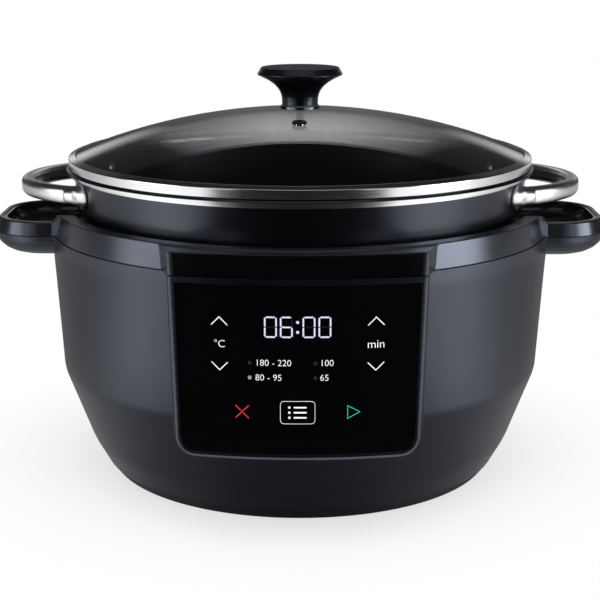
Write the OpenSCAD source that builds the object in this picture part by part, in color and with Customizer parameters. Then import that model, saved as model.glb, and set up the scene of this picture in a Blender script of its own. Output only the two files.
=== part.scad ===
// Countertop multicooker: a heated base with a touch panel, a lift-out pot and a loose glass lid.
// Millimetres. The origin is on the table under the middle of the base; +Z is up and -Y is the panel side.

/* [Cooking pot] */
// Inside radius of the mouth
pot_r = 144; // [138:1:150]
// Inside depth
pot_depth = 126; // [118:1:134]
// Draft of the wall, in degrees
pot_draft = 4; // [3:0.5:5]
// Thickness of the wall
pot_wall = 3; // [2.5:0.5:3.5]
// Thickness of the floor
pot_floor = 4; // [3:0.5:5]
// Inside radius between wall and floor
pot_corner = 24; // [18:1:30]
// How far the lip stands out from the wall
lip_reach = 4.8; // [4:0.2:6]
// Thickness of the lip
lip_h = 3; // [2:0.2:4]

/* [Pot handles] */
// How far a loop's outer face stands out from the wall
loop_reach = 36; // [34:1:42]
// Angle from the side axis to each foot of a loop, in degrees
loop_angle = 23; // [20:1:26]
// Width of the loop's bar, seen from above
bar_w = 9; // [7:0.5:11]
// Height of the loop's bar
bar_h = 11; // [8:0.5:13]
// Radius on the bar's four edges
bar_round = 3.6; // [2:0.2:4]
// Height of the pot's rim above the middle of the bar
loop_drop = 12.8; // [12.2:0.2:16]
// Radius of the foot at the pot's wall
loop_foot_r = 8.5; // [7:0.1:8.8]
// Length of the foot
loop_foot_l = 11; // [9:0.5:14]
// Radius of a rivet's shank
rivet_r = 3; // [2:0.25:4]
// Radius of a rivet's head inside the pot
rivet_head_r = 4.5; // [4.2:0.1:6]
// Height of a rivet's head
rivet_head_h = 2; // [1:0.25:3]

/* [Lid] */
// How far the steel band stands out past the pot's mouth
lid_over = 6; // [5:0.5:7]
// Thickness of the band's sheet
band_t = 0.8; // [0.6:0.1:1]
// Width of the band's fold over the glass
band_fold = 4.4; // [3:0.2:6]
// Depth of the band's skirt inside the mouth
skirt_h = 4; // [3:0.5:6]
// Thickness of the glass
glass_t = 4; // [3:0.5:5]
// Rise of the glass dome from its edge
dome_h = 29.5; // [24:0.5:36]
// Distance of the steam vent from the knob's axis
vent_at = 51; // [40:1:70]
// Radius of the steam vent's hole
vent_r = 1.9; // [1.4:0.1:2]
// Radius of the steam vent's flange
vent_flange_r = 4.8; // [4:0.2:6]

/* [Knob] */
// Radius of the knob's top
knob_r = 28; // [22:0.5:32]
// Radius of the knob's neck
knob_neck_r = 11.6; // [10:0.2:14]
// Height of the knob above the glass
knob_h = 27; // [22:0.5:32]
// Height of the knob's bevelled edge
knob_edge_h = 5; // [4:0.2:6]
// Width of the bevel, measured inwards
knob_bevel = 2.8; // [1.6:0.2:4]
// Radius of the steel ring under the knob
knob_ring_r = 13; // [12:0.2:16]
// Height of the steel ring under the knob
knob_ring_h = 2.4; // [1.5:0.1:4]
// Radius of the knob's screw
knob_screw_r = 2.5; // [2:0.1:3]
// Thickness of the soft washer inside the lid
knob_washer_t = 1.5; // [1:0.1:2]

/* [Housing] */
// Height of the hot plate's face above the table
plate_z = 70; // [66:1:76]
// Height of pot that stands above the collar
pot_show = 26.3; // [24.5:0.1:30]
// Gap between the pot's wall, at its top, and the collar's throat
throat_gap = 2.5; // [2:0.1:3]
// Width of the collar from throat to outer face
collar_w = 11.4; // [11:0.2:14]
// Height of the collar's outer face
collar_h = 15.2; // [13.5:0.1:16.5]
// How far the collar's outer face leans in
collar_lean = 2.1; // [1:0.1:2.5]
// Depth of the collar's throat below its top
throat_h = 27; // [26:0.5:29]
// Wall thickness of the plastic shells
shell_t = 2.5; // [2.2:0.1:2.8]
// Open seam between collar and housing
seam_gap = 0.4; // [0.3:0.1:0.8]
// How far the housing's wall bellies out past the collar
belly_out = 0.8; // [0.4:0.1:1.5]
// Height of the seam above the widest line of the housing
belly_drop = 9; // [6:0.5:12]
// Height of the crease round the housing
crease_z = 70; // [66:1:74]
// How far the wall draws in down to the crease
crease_in = 4.7; // [2:0.1:6]
// Height of the hip under the crease
hip_z = 24; // [22:1:28]
// How far the wall draws in down to the hip
hip_in = 21.7; // [18:0.1:23]
// Height of the seam between housing and base cover
base_z = 8; // [7:0.5:9]
// How far the wall draws in down to the base cover
base_in = 30.6; // [27:0.1:32]
// How far the base cover's edge draws in below its seam
base_edge_in = 4.8; // [3:0.2:6]
// Height of the feet that shows
foot_h = 2; // [1.5:0.1:3]
// Width of a foot's arc, measured outwards
foot_w = 10; // [8:0.5:12]
// Arc of each foot, in degrees
foot_arc = 34; // [24:1:40]

/* [Side grips] */
// How far a grip stands out from the housing
grip_reach = 36.8; // [33:0.2:40]
// Half the width of a grip
grip_half_w = 44.5; // [42:0.5:48]
// Corner radius of a grip, seen from above
grip_corner = 32; // [28:0.5:34]
// Height of the collar's top above the grip's top
grip_drop = 6; // [4:0.5:7]
// Depth of a grip, top to underside
grip_depth = 23.5; // [22:0.5:25]
// Slope of the grip's upper side, measured inwards
grip_bevel = 2.5; // [2:0.1:3.5]
// Width of the rim round the grip's dish
grip_rim = 3.2; // [2.6:0.1:4]
// Depth of the dish
dish_depth = 10; // [8:0.5:12]
// Length of the flat between a grip and the collar
wedge_l = 15; // [10:0.5:18]

/* [Control panel] */
// How far the panel stands proud of the housing
panel_proud = 5.5; // [4.5:0.1:8]
// Radius of the panel's curve, seen from above
panel_curve_r = 260; // [240:5:320]
// Width of the panel at the seam
panel_top_w = 146; // [142:0.5:149]
// Width of the panel at its lower edge
panel_low_w = 140.6; // [136:0.2:143]
// Height of the panel's lower edge
panel_low_z = 54; // [52:0.5:58]
// Corner radius at the panel's lower edge
panel_corner = 11; // [8:0.5:14]
// Width of the frame round the touch glass
frame_w = 3; // [2.6:0.1:3.6]
// Flare of the panel's sides in the housing, as millimetres per millimetre of depth
panel_flare = 0.15; // [0.12:0.01:0.36]
// Flare of the panel's sides in the collar, as millimetres per millimetre of depth
strip_flare = 0.32; // [0.15:0.01:0.36]
// Thickness of the touch glass
lens_t = 2.5; // [2:0.1:3]
// How deep the touch glass lies below its frame
lens_sunk = 0.3; // [0.1:0.1:0.6]
// Width of the ledge behind the touch glass
ledge_w = 9; // [8:0.5:11]
// Thickness of the gloss strip
strip_t = 1.5; // [1.2:0.1:1.6]

/* [Heater] */
// Radius of the hot plate
plate_r = 98; // [90:1:104]
// Thickness of the hot plate
plate_t = 12; // [11:0.5:14]
// Radius of the heating element's ring
element_r = 70; // [62:1:76]
// Radius of the heating element's tube
element_tube_r = 4; // [3.5:0.1:4.5]
// Sheet thickness of the steel liner
liner_t = 0.8; // [0.6:0.1:1.2]
// Gap between pot and liner
liner_gap = 3; // [2:0.5:4]
// Height of the hot plate's face above the liner's floor
liner_sunk = 9; // [7:0.5:10]
// Radius of the temperature sensor's cap
sensor_r = 15; // [12:0.5:18]
// Radius of the temperature sensor's stem
stem_r = 4; // [3:0.25:5]
// Length of the temperature sensor's spring
spring_l = 18; // [16:0.5:22]
// Radius of the spring, at the middle of its wire
spring_r = 8; // [7:0.25:9]
// Radius of the spring's wire
spring_wire_r = 0.7; // [0.5:0.05:0.9]
// Turns of the spring
spring_turns = 6; // [4:1:7]

/* [Electronics] */
// Width of the power board
board_w = 130; // [120:1:140]
// Depth of the power board
board_d = 90; // [84:1:96]
// Distance of the power board's middle behind the axis
board_y = 35; // [30:1:40]
// Height of the power board above the base cover's floor
board_up = 9.5; // [7:0.5:12]
// Thickness of a circuit board
board_t = 1.6; // [1.2:0.1:2]
// Height of the mains inlet's middle
inlet_z = 36; // [34:0.5:38]
// Distance of the mains inlet's wall inside the housing's widest radius
inlet_in = 27.7; // [25.7:0.5:29.7]
// Width of the mains inlet's flange
inlet_w = 31; // [29:0.5:34]
// Height of the mains inlet's flange
inlet_h = 24; // [23:0.5:26]

/* [Hidden] */
$fn = 96;

// Clearances shared by every fit
lift_gap = 0.3;
fit_gap = 0.2;
hold_gap = 0.05;
past = 1;

// Levels, from the table up
pot_z = plate_z + lift_gap;
rim_z = pot_z + pot_floor + pot_depth;
collar_top = rim_z - pot_show;
seam_z = collar_top - collar_h;
throat_z = collar_top - throat_h;
grip_top = collar_top - grip_drop;
grip_low = grip_top - grip_depth;
band_z = rim_z + lift_gap;
plate_low = plate_z - plate_t;
liner_floor_z = plate_z - liner_sunk;
cover_floor_z = foot_h + shell_t;
board_z = cover_floor_z + board_up;
board_top = board_z + board_t;

// Radii, from the pot out
pot_out_r = pot_r + pot_wall;
throat_r = pot_out_r + throat_gap;
collar_r = throat_r + collar_w;
body_r = collar_r + belly_out;
belly_z = seam_z - belly_drop;
crease_r = body_r - crease_in;
hip_r = body_r - hip_in;
base_r = body_r - base_in;
lid_r = pot_r + lid_over;

// Glass dome, part of a hollow ball
glass_r = lid_r - band_t - fit_gap;
ball_r = (glass_r * glass_r + dome_h * dome_h) / (2 * dome_h);
glass_low = band_z + band_t + fit_gap;
ball_z = glass_low - sqrt(pow(ball_r - glass_t, 2) - glass_r * glass_r);
apex = ball_z + ball_r;
vent_tilt = asin(vent_at / ball_r);
vent_hole_r = vent_r + 1.3;

// Knob
knob_z = apex + knob_ring_h;
knob_top = apex + knob_h;
knob_bore_r = knob_screw_r + 0.05;
knob_bore_h = 14;
knob_hole_r = knob_screw_r + 1.5;
washer_r = 9;
washer_z = apex - glass_t - washer_r * washer_r / (2 * (ball_r - glass_t)) - 0.02;
screw_head_r = 6.5;
screw_head_h = 2.4;

// Loop handles of the pot
loop_z = rim_z - loop_drop;
loop_wall_r = pot_out_r - loop_drop * tan(pot_draft);
loop_tip = loop_wall_r + loop_reach - bar_w / 2;
loop_c = (loop_tip * loop_tip - loop_wall_r * loop_wall_r)
         / (2 * (loop_tip - loop_wall_r * cos(loop_angle)));
loop_r = loop_tip - loop_c;
loop_sweep = atan2(loop_wall_r * sin(loop_angle), loop_wall_r * cos(loop_angle) - loop_c);
rivet_hold = 6;
loop_plate_t = 1.8;

// Grips on the housing
grip_cx = body_r + grip_reach - grip_corner;
grip_cy = grip_half_w - grip_corner;
grip_root = throat_r - 14;
grip_under = seam_z - grip_low;
grip_tuck = 20;
dish_r = grip_corner - grip_bevel - grip_rim;
dish_tuck = 7;
dish_t = 1.8;
dish_sunk = 0.6;
notch_half = grip_half_w - 0.5;
notch_run = grip_drop * 1.4;
wedge_from = [sqrt(pow(collar_r - 0.5, 2) - pow(grip_half_w, 2)) + 3, grip_half_w - 0.3];
wedge_turn = 53.5;
wedge_to = wedge_from + wedge_l * [-cos(wedge_turn), sin(wedge_turn)];
wedge_plan = [wedge_from, wedge_to, wedge_to - [6, 6], wedge_from - [8, 6]];

// Control panel
panel_y = body_r + panel_proud;
panel_c = panel_curve_r - panel_y;
panel_side_y = sqrt(pow(panel_curve_r, 2) - pow(panel_top_w / 2, 2)) - panel_c;
loft_front = panel_y + past;
loft_back = body_r - 31;
lens_back_r = panel_curve_r - lens_sunk - lens_t;
ledge_back_r = lens_back_r - shell_t;
lens_top = seam_z - frame_w;
block_top = collar_top - 0.8;
strip_top = block_top - 0.7;
strip_low = seam_z + seam_gap;
strip_wall = 1.2;
strip_back_r = panel_curve_r - strip_t;
window_half = panel_half(panel_low_z) - frame_w - ledge_w;
panel_board_w = 2 * (panel_half(panel_low_z) - frame_w - 2);
board_face_y = sqrt(pow(ledge_back_r, 2) - pow(panel_board_w / 2, 2)) - panel_c - 0.5;
panel_board_low = panel_low_z + frame_w + 6;
panel_board_top = throat_z - liner_t - 2.4;
panel_board_h = panel_board_top - panel_board_low;
panel_board_z = (panel_board_top + panel_board_low) / 2;
post_x = panel_board_w / 2 - 4;
post_dz = panel_board_h / 2 - 4;
post_r = 3;
post_l = 1.6;
post_hole = 2.2;
key_x = 44;
key_apart = 13.1;
key_z = [-key_apart, key_apart];
key_drop = 34;
key_mid_z = lens_top - key_drop;
low_key_x = 31.5;
low_key_drop = 73.6;
low_key_z = lens_top - low_key_drop;
pad_r = 5;
pad_hole_r = 3;
display_drop = 23.7;
display_z = lens_top - display_drop;
display_w = 46;
display_h = 18;

// Small fasteners and their places
tab_angles = [45, 135, 225, 315];
tab_r = throat_r + 4.6;
tab_t = 3;
tab_w = 14;
tab_reach = 6;
liner_screw_in = 9;
small_screw_r = 1.5;
small_head_r = 3;
small_head_h = 2;
boss_r = 3.2;
cover_screw_angles = [68, 112, 248, 292];
cover_screw_in = 19.1;
cover_screw_at = base_r - cover_screw_in;
cover_boss_r = 4.5;
cover_boss_top = 30;
cover_screw_l = 16;
rib_t = 3;
cover_lip_h = 3;
cover_lip_t = 2;
rib_low = base_z + cover_lip_h + 2 * fit_gap;
foot_angles = [38, 142, 218, 322];
foot_edge_in = 3.9;
foot_out_r = base_r - base_edge_in - foot_edge_in;
foot_in_r = foot_out_r - foot_w;
foot_seat = 1;
slot_count = 24;
slot_in_r = 50;
slot_l = 32;
slot_w = 3;
cover_edge_in = 0.4;
head_sunk = 0.6 * small_head_h;

// Heater, sensor and liner
liner_z = throat_z - liner_t;
liner_flange_r = tab_r + 3.4;
liner_hole_r = plate_r + 1.5;
bracket_angles = [30, 150, 270];
bracket_t = 2;
bracket_w = 14;
bracket_in = 12;
bracket_out = 16;
heater_screw_r = 2;
heater_screw_in = 6;
terminal_r = 3.2;
terminal_l = 10;
element_gap = 15;
guide_in_r = sensor_r + lift_gap;
guide_out_r = guide_in_r + 2;
cap_h = 6;
spring_top = plate_z - cap_h;
guide_floor_z = spring_top - spring_l;
guide_floor_t = 2;
guide_flange_r = guide_out_r + 8;
retainer_h = 2;
cutout_x = -45;
cutout_r = 9;
cutout_h = 5;

// Power board and mains inlet
board_hole_x = board_w / 2 - 6;
board_hole_y = board_d / 2 - 6;
standoff_r = 4;
board_screw_in = 7;
flange_t = 2.5;
inlet_body_w = inlet_w - 4;
inlet_body_h = inlet_h - 4;
inlet_depth = 18;
socket_w = 24;
socket_h = 16;
socket_depth = 15;
pin_w = 2;
pin_h = 4;
pin_x = 7;
pin_dz = 2;
pin_tail = 6;
pin_sunk = 4;
pocket_room = 3;
inlet_y = body_r - inlet_in;
inlet_corner = 3;
key_cut = 5;
lead_r = 1.5;

// Parts on the power board
part_edge = 17;
part_gap = 8;
transformer_w = 26;
transformer_d = 22;
transformer_h = 20;
relay_w = 19;
relay_d = 15;
relay_h = 15;
can_r = 7;
can_h = 22;
small_can_r = 5;
small_can_h = 16;
choke_w = 8;
choke_d = 20;
choke_h = 18;

function unit(v) = v / norm(v);

// Points of a fillet at b, on the way from a to c
function corner_arc(a, b, c, r, n) =
  let (u = unit(a - b),
       v = unit(c - b),
       half = acos(u * v) / 2,
       reach = min(r / tan(half), 0.49 * min(norm(a - b), norm(c - b))),
       rr = reach * tan(half),
       mid = b + unit(u + v) * (rr / sin(half)),
       from = b + u * reach - mid,
       turn = (u.x * v.y > u.y * v.x ? -1 : 1) * (180 - 2 * half))
  [for (i = [0 : n])
    let (k = turn * i / n)
    mid + [from.x * cos(k) - from.y * sin(k), from.x * sin(k) + from.y * cos(k)]];

// Outline through [x, y, fillet radius] corners
function rounded(pts, n = 5) =
  [for (i = [0 : len(pts) - 1])
    let (p = pts[i], q = pts[(i + len(pts) - 1) % len(pts)], s = pts[(i + 1) % len(pts)])
    each (p[2] > 0 ? corner_arc([q[0], q[1]], [p[0], p[1]], [s[0], s[1]], p[2], n) : [[p[0], p[1]]])];

// Radius of the pot's outer wall at a height
function pot_out(z) = pot_out_r - (rim_z - z) * tan(pot_draft);
function pot_in(z) = pot_out(z) - pot_wall;
function liner_in(z) = pot_out(z) + liner_gap;

// Height of the glass's outer face at a distance from its axis
function glass_top(r) = ball_z + sqrt(ball_r * ball_r - r * r);

// Half the panel's width at a height
function panel_half(z) =
  panel_low_w / 2 + (panel_top_w - panel_low_w) / 2 * (z - panel_low_z) / (seam_z - panel_low_z);

// Outline of the panel, drawn in by inset, between two heights
function panel_outline(inset, z0, z1, low_r, top_r) =
  rounded([[-panel_half(z0) + inset, z0, low_r], [panel_half(z0) - inset, z0, low_r],
           [panel_half(z1) - inset, z1, top_r], [-panel_half(z1) + inset, z1, top_r]], 7);

// Profile of a quarter ellipse from [r, z] down to [r - tuck, z - h]
function tuck_profile(r, z, tuck, h, n = 6) =
  [for (i = [n : -1 : 0]) [r - tuck * (1 - cos(90 * i / n)), z - h * sin(90 * i / n)]];

// Places a child at each of the given angles, at a radius and height
module around(angles, r, z) {
  for (a = angles) {
    rotate([0, 0, a]) translate([r, 0, z]) children();
  }
}

// A grip's rounded outline, on the +X side: a [distance, height] section swept round it, and a middle slab
module grip_sweep(section, low, high) {
  translate([grip_root, -grip_cy, low]) cube([grip_cx - grip_root, 2 * grip_cy, high - low]);
  translate([grip_cx, grip_cy, 0]) rotate([90, 0, 0]) linear_extrude(2 * grip_cy) polygon(section);
  for (s = [-1, 1]) {
    translate([grip_cx, s * grip_cy, 0]) rotate([0, 0, s > 0 ? 0 : -90]) rotate_extrude(angle = 90)
      polygon(section);
    translate([grip_root, s * grip_cy, 0]) rotate([90, 0, 90]) linear_extrude(grip_cx - grip_root)
      polygon([for (p = section) [s * p[0], p[1]]]);
  }
}

// A solid grip outline with the given side profile
module grip_form(profile) {
  low = profile[0][1];
  high = profile[len(profile) - 1][1];
  grip_sweep(concat([[0, low]], profile, [[0, high]]), low, high);
}

module both_sides() {
  children();
  mirror([1, 0, 0]) children();
}

// A panel outline as a block that runs front to back
module panel_prism(outline, back_y = 120) {
  translate([0, -back_y, 0]) rotate([90, 0, 0]) linear_extrude(loft_front + past - back_y) polygon(outline);
}

// A round column on the axis of the panel's curve
module panel_column(r, z0, z1) {
  translate([0, panel_c, z0]) cylinder(h = z1 - z0, r = r, $fn = 180);
}

// The proud block behind the panel, between two heights
module panel_block(z0, z1, flare) {
  lean_front = flare * (loft_front - panel_side_y);
  lean_back = -flare * (panel_side_y - loft_back);
  intersection() {
    hull() {
      translate([0, 1 - loft_front, 0]) rotate([90, 0, 0]) linear_extrude(1)
        polygon(panel_outline(lean_front, panel_low_z, collar_top + past, panel_corner, 0));
      translate([0, 1 - loft_back, 0]) rotate([90, 0, 0]) linear_extrude(1)
        polygon(panel_outline(lean_back, panel_low_z, collar_top + past, panel_corner, 0));
    }
    panel_column(panel_curve_r, z0, z1);
  }
}

// A small cross-head screw along +Z, with its head below z = 0
module small_screw(length, r = small_screw_r, head_r = small_head_r) {
  difference() {
    union() {
      cylinder(h = length, r = r);
      translate([0, 0, -small_head_h]) cylinder(h = small_head_h, r1 = head_r * 0.75, r2 = head_r);
    }
    for (a = [0, 90]) {
      rotate([0, 0, a]) translate([-head_r * 0.5, -0.35, -small_head_h - past])
        cube([head_r, 0.7, past + 1.1]);
    }
  }
}

// Outer form of the housing, drawn in by inset
module housing_form(inset, z0, z1) {
  rotate_extrude($fn = 180)
    polygon(rounded([[0, z0, 0], [base_r - inset, z0, 0], [hip_r - inset, hip_z, 60],
                     [crease_r - inset, crease_z, 24], [body_r - inset, belly_z, 60],
                     [body_r - belly_out / 2 - inset, z1, 0], [0, z1, 0]]));
}

module lid_glass() {
  color([0.75, 0.8, 0.82, 0.35]) difference() {
    rotate_extrude($fn = 180) intersection() {
      difference() {
        translate([0, ball_z]) circle(ball_r, $fn = 720);
        translate([0, ball_z]) circle(ball_r - glass_t, $fn = 720);
      }
      translate([knob_hole_r, glass_low - past]) square([glass_r - knob_hole_r, dome_h + glass_t + 2 * past]);
    }
    vent_place() translate([0, 0, -glass_t - past]) cylinder(h = glass_t + 2 * past, r = vent_hole_r);
  }
}

// Frame of the steam vent, with z = 0 on the glass's outer face
module vent_place() {
  translate([0, 0, ball_z]) rotate([vent_tilt, 0, 0]) translate([0, 0, ball_r]) children();
}

module lid_rim() {
  wall_r = lid_r - band_t;
  fold_r = lid_r - band_fold;
  skirt_r = pot_in(band_z - skirt_h) - lift_gap;
  color("silver") rotate_extrude($fn = 180)
    polygon(rounded([[lid_r, band_z, 0.5], [lid_r, glass_top(lid_r) + fit_gap + band_t, 0.7],
                     [fold_r, glass_top(fold_r) + fit_gap + band_t, 0.3],
                     [fold_r, glass_top(fold_r) + fit_gap, 0], [wall_r, glass_top(wall_r) + fit_gap, 0],
                     [wall_r, band_z + band_t, 0], [skirt_r - band_t, band_z + band_t, 0.5],
                     [skirt_r - band_t, band_z - skirt_h, 0.2], [skirt_r, band_z - skirt_h, 0.2],
                     [skirt_r, band_z, 0]], 3));
}

module lid_knob() {
  flare_top = knob_top - knob_edge_h;
  flare = [for (i = [0 : 9])
    let (t = i / 10)
    [knob_neck_r + (knob_r - knob_neck_r) * pow(t, 2.4), knob_z + (flare_top - knob_z) * pow(t, 0.8), 0]];
  edge = [[knob_r, flare_top, 1], [knob_r - knob_bevel, knob_top - 0.3, 1.2], [0, knob_top, 0]];
  color([0.1, 0.1, 0.12]) difference() {
    rotate_extrude() polygon(rounded(concat([[0, knob_z, 0]], flare, edge), 6));
    translate([0, 0, knob_z - past]) cylinder(h = knob_bore_h + past, r = knob_bore_r);
  }
}

module knob_ring() {
  color("silver") rotate_extrude()
    polygon(rounded([[knob_hole_r, apex, 0], [knob_ring_r, apex, 0.4], [knob_ring_r - 0.5, knob_z, 0.7],
                     [knob_hole_r, knob_z, 0]], 4));
}

module knob_screw() {
  head_z = washer_z - knob_washer_t;
  color("gainsboro") difference() {
    union() {
      translate([0, 0, head_z]) cylinder(h = knob_z + knob_bore_h - past - head_z, r = knob_screw_r);
      translate([0, 0, head_z - screw_head_h])
        cylinder(h = screw_head_h, r1 = screw_head_r * 0.8, r2 = screw_head_r);
    }
    translate([0, 0, head_z - screw_head_h - past]) cylinder(h = past + 1.4, r = 2, $fn = 6);
  }
}

module knob_washer() {
  color([0.2, 0.2, 0.2]) translate([0, 0, washer_z - knob_washer_t]) difference() {
    cylinder(h = knob_washer_t, r = washer_r);
    translate([0, 0, -past]) cylinder(h = knob_washer_t + 2 * past, r = knob_screw_r + 0.1);
  }
}

module vent_eyelet() {
  flange = 1;
  barrel_r = vent_hole_r - 0.1;
  under = -glass_t - 0.08;
  color([0.15, 0.15, 0.15]) vent_place() rotate_extrude()
    polygon([[vent_r, under - flange], [vent_flange_r, under - flange], [vent_flange_r, under],
             [barrel_r, under], [barrel_r, 0.08], [vent_flange_r, 0.08], [vent_flange_r - 0.6, flange],
             [vent_r + 0.4, flange], [vent_r, flange - 0.4]]);
}

module cooking_pot() {
  floor_z = pot_z + pot_floor;
  lip_r = pot_out_r + lip_reach;
  color([0.2, 0.2, 0.22]) difference() {
    rotate_extrude($fn = 180)
      polygon(rounded([[0, pot_z, 0], [pot_out(pot_z), pot_z, pot_corner + pot_wall],
                       [pot_out(rim_z - lip_h), rim_z - lip_h, 1], [lip_r, rim_z - lip_h, 1.3],
                       [lip_r, rim_z, 1.3], [pot_r, rim_z, 1.2], [pot_in(floor_z), floor_z, pot_corner],
                       [0, floor_z, 0]], 8));
    rivet_places() translate([0, 0, -2 * pot_wall]) cylinder(h = 4 * pot_wall, r = rivet_r + hold_gap);
  }
}

// Frame of each rivet: z runs outwards, square to the pot's wall, with 0 on the wall's outer face
module rivet_places(sides = [0, 180]) {
  for (s = sides) {
    for (a = [s - loop_angle, s + loop_angle]) {
      rotate([0, 0, a]) translate([loop_wall_r, 0, loop_z]) rotate([0, 90 + pot_draft, 0]) children();
    }
  }
}

// One loop with its two feet, on the +X side
module loop_handle() {
  reach = 2 * bar_h;
  difference() {
    union() {
      translate([loop_c, 0, loop_z]) rotate([0, 0, -loop_sweep]) rotate_extrude(angle = 2 * loop_sweep)
        translate([loop_r, 0]) polygon(rounded([for (k = [[-1, -1], [1, -1], [1, 1], [-1, 1]])
          [k[0] * bar_w / 2, k[1] * bar_h / 2, bar_round]], 6));
      rivet_places([0]) translate([0, 0, -past]) cylinder(h = loop_plate_t + past, r = loop_foot_r);
      for (s = [-1, 1]) {
        translate([loop_wall_r * cos(loop_angle), s * loop_wall_r * sin(loop_angle), loop_z])
          rotate([0, 0, s * (loop_sweep - 90)]) rotate([0, 90, 0]) translate([0, 0, -loop_foot_r])
          cylinder(h = loop_foot_r + loop_foot_l, r1 = loop_foot_r, r2 = bar_h * 0.45);
      }
    }
    rotate_extrude($fn = 180)
      polygon([[0, loop_z - reach], [pot_out(loop_z - reach), loop_z - reach],
               [pot_out(loop_z + reach), loop_z + reach], [0, loop_z + reach]]);
    rivet_places([0]) translate([0, 0, -past]) cylinder(h = rivet_hold + past, r = rivet_r + hold_gap);
  }
}

module pot_handle_right() {
  color("lightgray") loop_handle();
}

module pot_handle_left() {
  color("lightgray") mirror([1, 0, 0]) loop_handle();
}

module pot_rivets() {
  inner = -pot_wall * cos(pot_draft);
  dome = [for (i = [0 : 5]) [rivet_head_r * cos(18 * i), -rivet_head_h * sin(18 * i)]];
  seat = inner - rivet_head_r * rivet_head_r / (2 * (pot_r - loop_drop)) - hold_gap;
  color("lightgray") rivet_places() {
    translate([0, 0, seat]) cylinder(h = rivet_hold - seat, r = rivet_r);
    translate([0, 0, seat]) rotate_extrude() polygon(concat([[0, 0]], dome));
  }
}

module outer_housing() {
  under = tuck_profile(grip_corner, seam_z, grip_tuck, grip_under);
  hollow = concat(tuck_profile(grip_corner - shell_t, seam_z, grip_tuck, grip_under - shell_t),
                  [[grip_corner - shell_t, seam_z + past]]);
  cavity = panel_outline(shell_t + 1, panel_low_z + shell_t + 0.5, seam_z + past, panel_corner - 3, 0);
  recess = panel_outline(frame_w - fit_gap, panel_low_z + frame_w - fit_gap, lens_top + fit_gap,
                         panel_corner - frame_w + fit_gap, 2);
  window = [for (k = [[-1, 0], [1, 0], [1, 1], [-1, 1]])
    [k[0] * window_half, k[1] == 0 ? panel_low_z + frame_w + ledge_w : lens_top - ledge_w]];
  color([0.17, 0.18, 0.2]) difference() {
    union() {
      difference() {
        union() {
          housing_form(0, base_z, seam_z);
          panel_block(panel_low_z, seam_z, panel_flare);
          both_sides() grip_form(under);
          both_sides() grip_wedge_low();
        }
        housing_form(shell_t, base_z - past, seam_z + past);
        both_sides() grip_form(hollow);
        intersection() {
          panel_prism(cavity);
          panel_column(ledge_back_r, panel_low_z, seam_z + past);
        }
      }
      intersection() {
        housing_form(shell_t / 2, base_z, seam_z);
        union() {
          around(tab_angles, tab_r - tab_reach, liner_z - tab_t) translate([0, -tab_w / 2, 0])
            cube([body_r, tab_w, tab_t]);
          around(cover_screw_angles, cover_screw_at, rib_low) translate([0, -rib_t / 2, 0])
            cube([body_r, rib_t, cover_boss_top - rib_low]);
          inlet_box(shell_t);
        }
      }
      around(cover_screw_angles, cover_screw_at, cover_floor_z)
        cylinder(h = cover_boss_top - cover_floor_z, r = cover_boss_r);
      control_screw_places() translate([0, 0, board_t]) cylinder(h = post_l, r = post_r);
    }
    difference() {
      panel_prism(recess);
      panel_column(lens_back_r - fit_gap, panel_low_z, seam_z);
    }
    panel_prism(window);
    around(tab_angles, tab_r, liner_z - tab_t - past)
      cylinder(h = tab_t + 2 * past, r = small_screw_r + fit_gap);
    around(cover_screw_angles, cover_screw_at, cover_floor_z - past)
      cylinder(h = cover_screw_l + past, r = small_screw_r + hold_gap);
    control_screw_places() cylinder(h = board_t + post_hole, r = small_screw_r + hold_gap);
    inlet_box(0);
    inlet_opening();
  }
}

// Flat that blends a grip's front and rear faces into the round wall, above the seam
module grip_wedge(z0, z1) {
  for (s = [-1, 1]) {
    translate([0, 0, z0]) linear_extrude(z1 - z0)
      polygon([for (p = wedge_plan) [p[0], s * p[1]]]);
  }
}

// The same flat below the seam, dying out towards the grip's underside
module grip_wedge_low() {
  for (s = [-1, 1]) {
    hull() {
      translate([0, 0, seam_z - 0.5]) linear_extrude(0.5) polygon([for (p = wedge_plan) [p[0], s * p[1]]]);
      translate([0, 0, grip_low + 2]) linear_extrude(0.5)
        polygon([for (p = wedge_plan) [p[0] - wedge_l * 0.35, s * (p[1] - wedge_l * 0.35)]]);
    }
  }
}

// Room for the mains inlet in the back wall, grown by a wall thickness
module inlet_box(wall) {
  w = inlet_w + 2 * pocket_room + 2 * wall;
  h = inlet_h + 2 * pocket_room + 2 * wall;
  translate([-w / 2, inlet_y - wall, inlet_z - h / 2]) cube([w, body_r, h]);
}

module inlet_opening() {
  w = inlet_body_w + 2 * fit_gap;
  h = inlet_body_h + 2 * fit_gap;
  translate([-w / 2, inlet_y - inlet_depth, inlet_z - h / 2]) cube([w, 2 * inlet_depth, h]);
}

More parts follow.
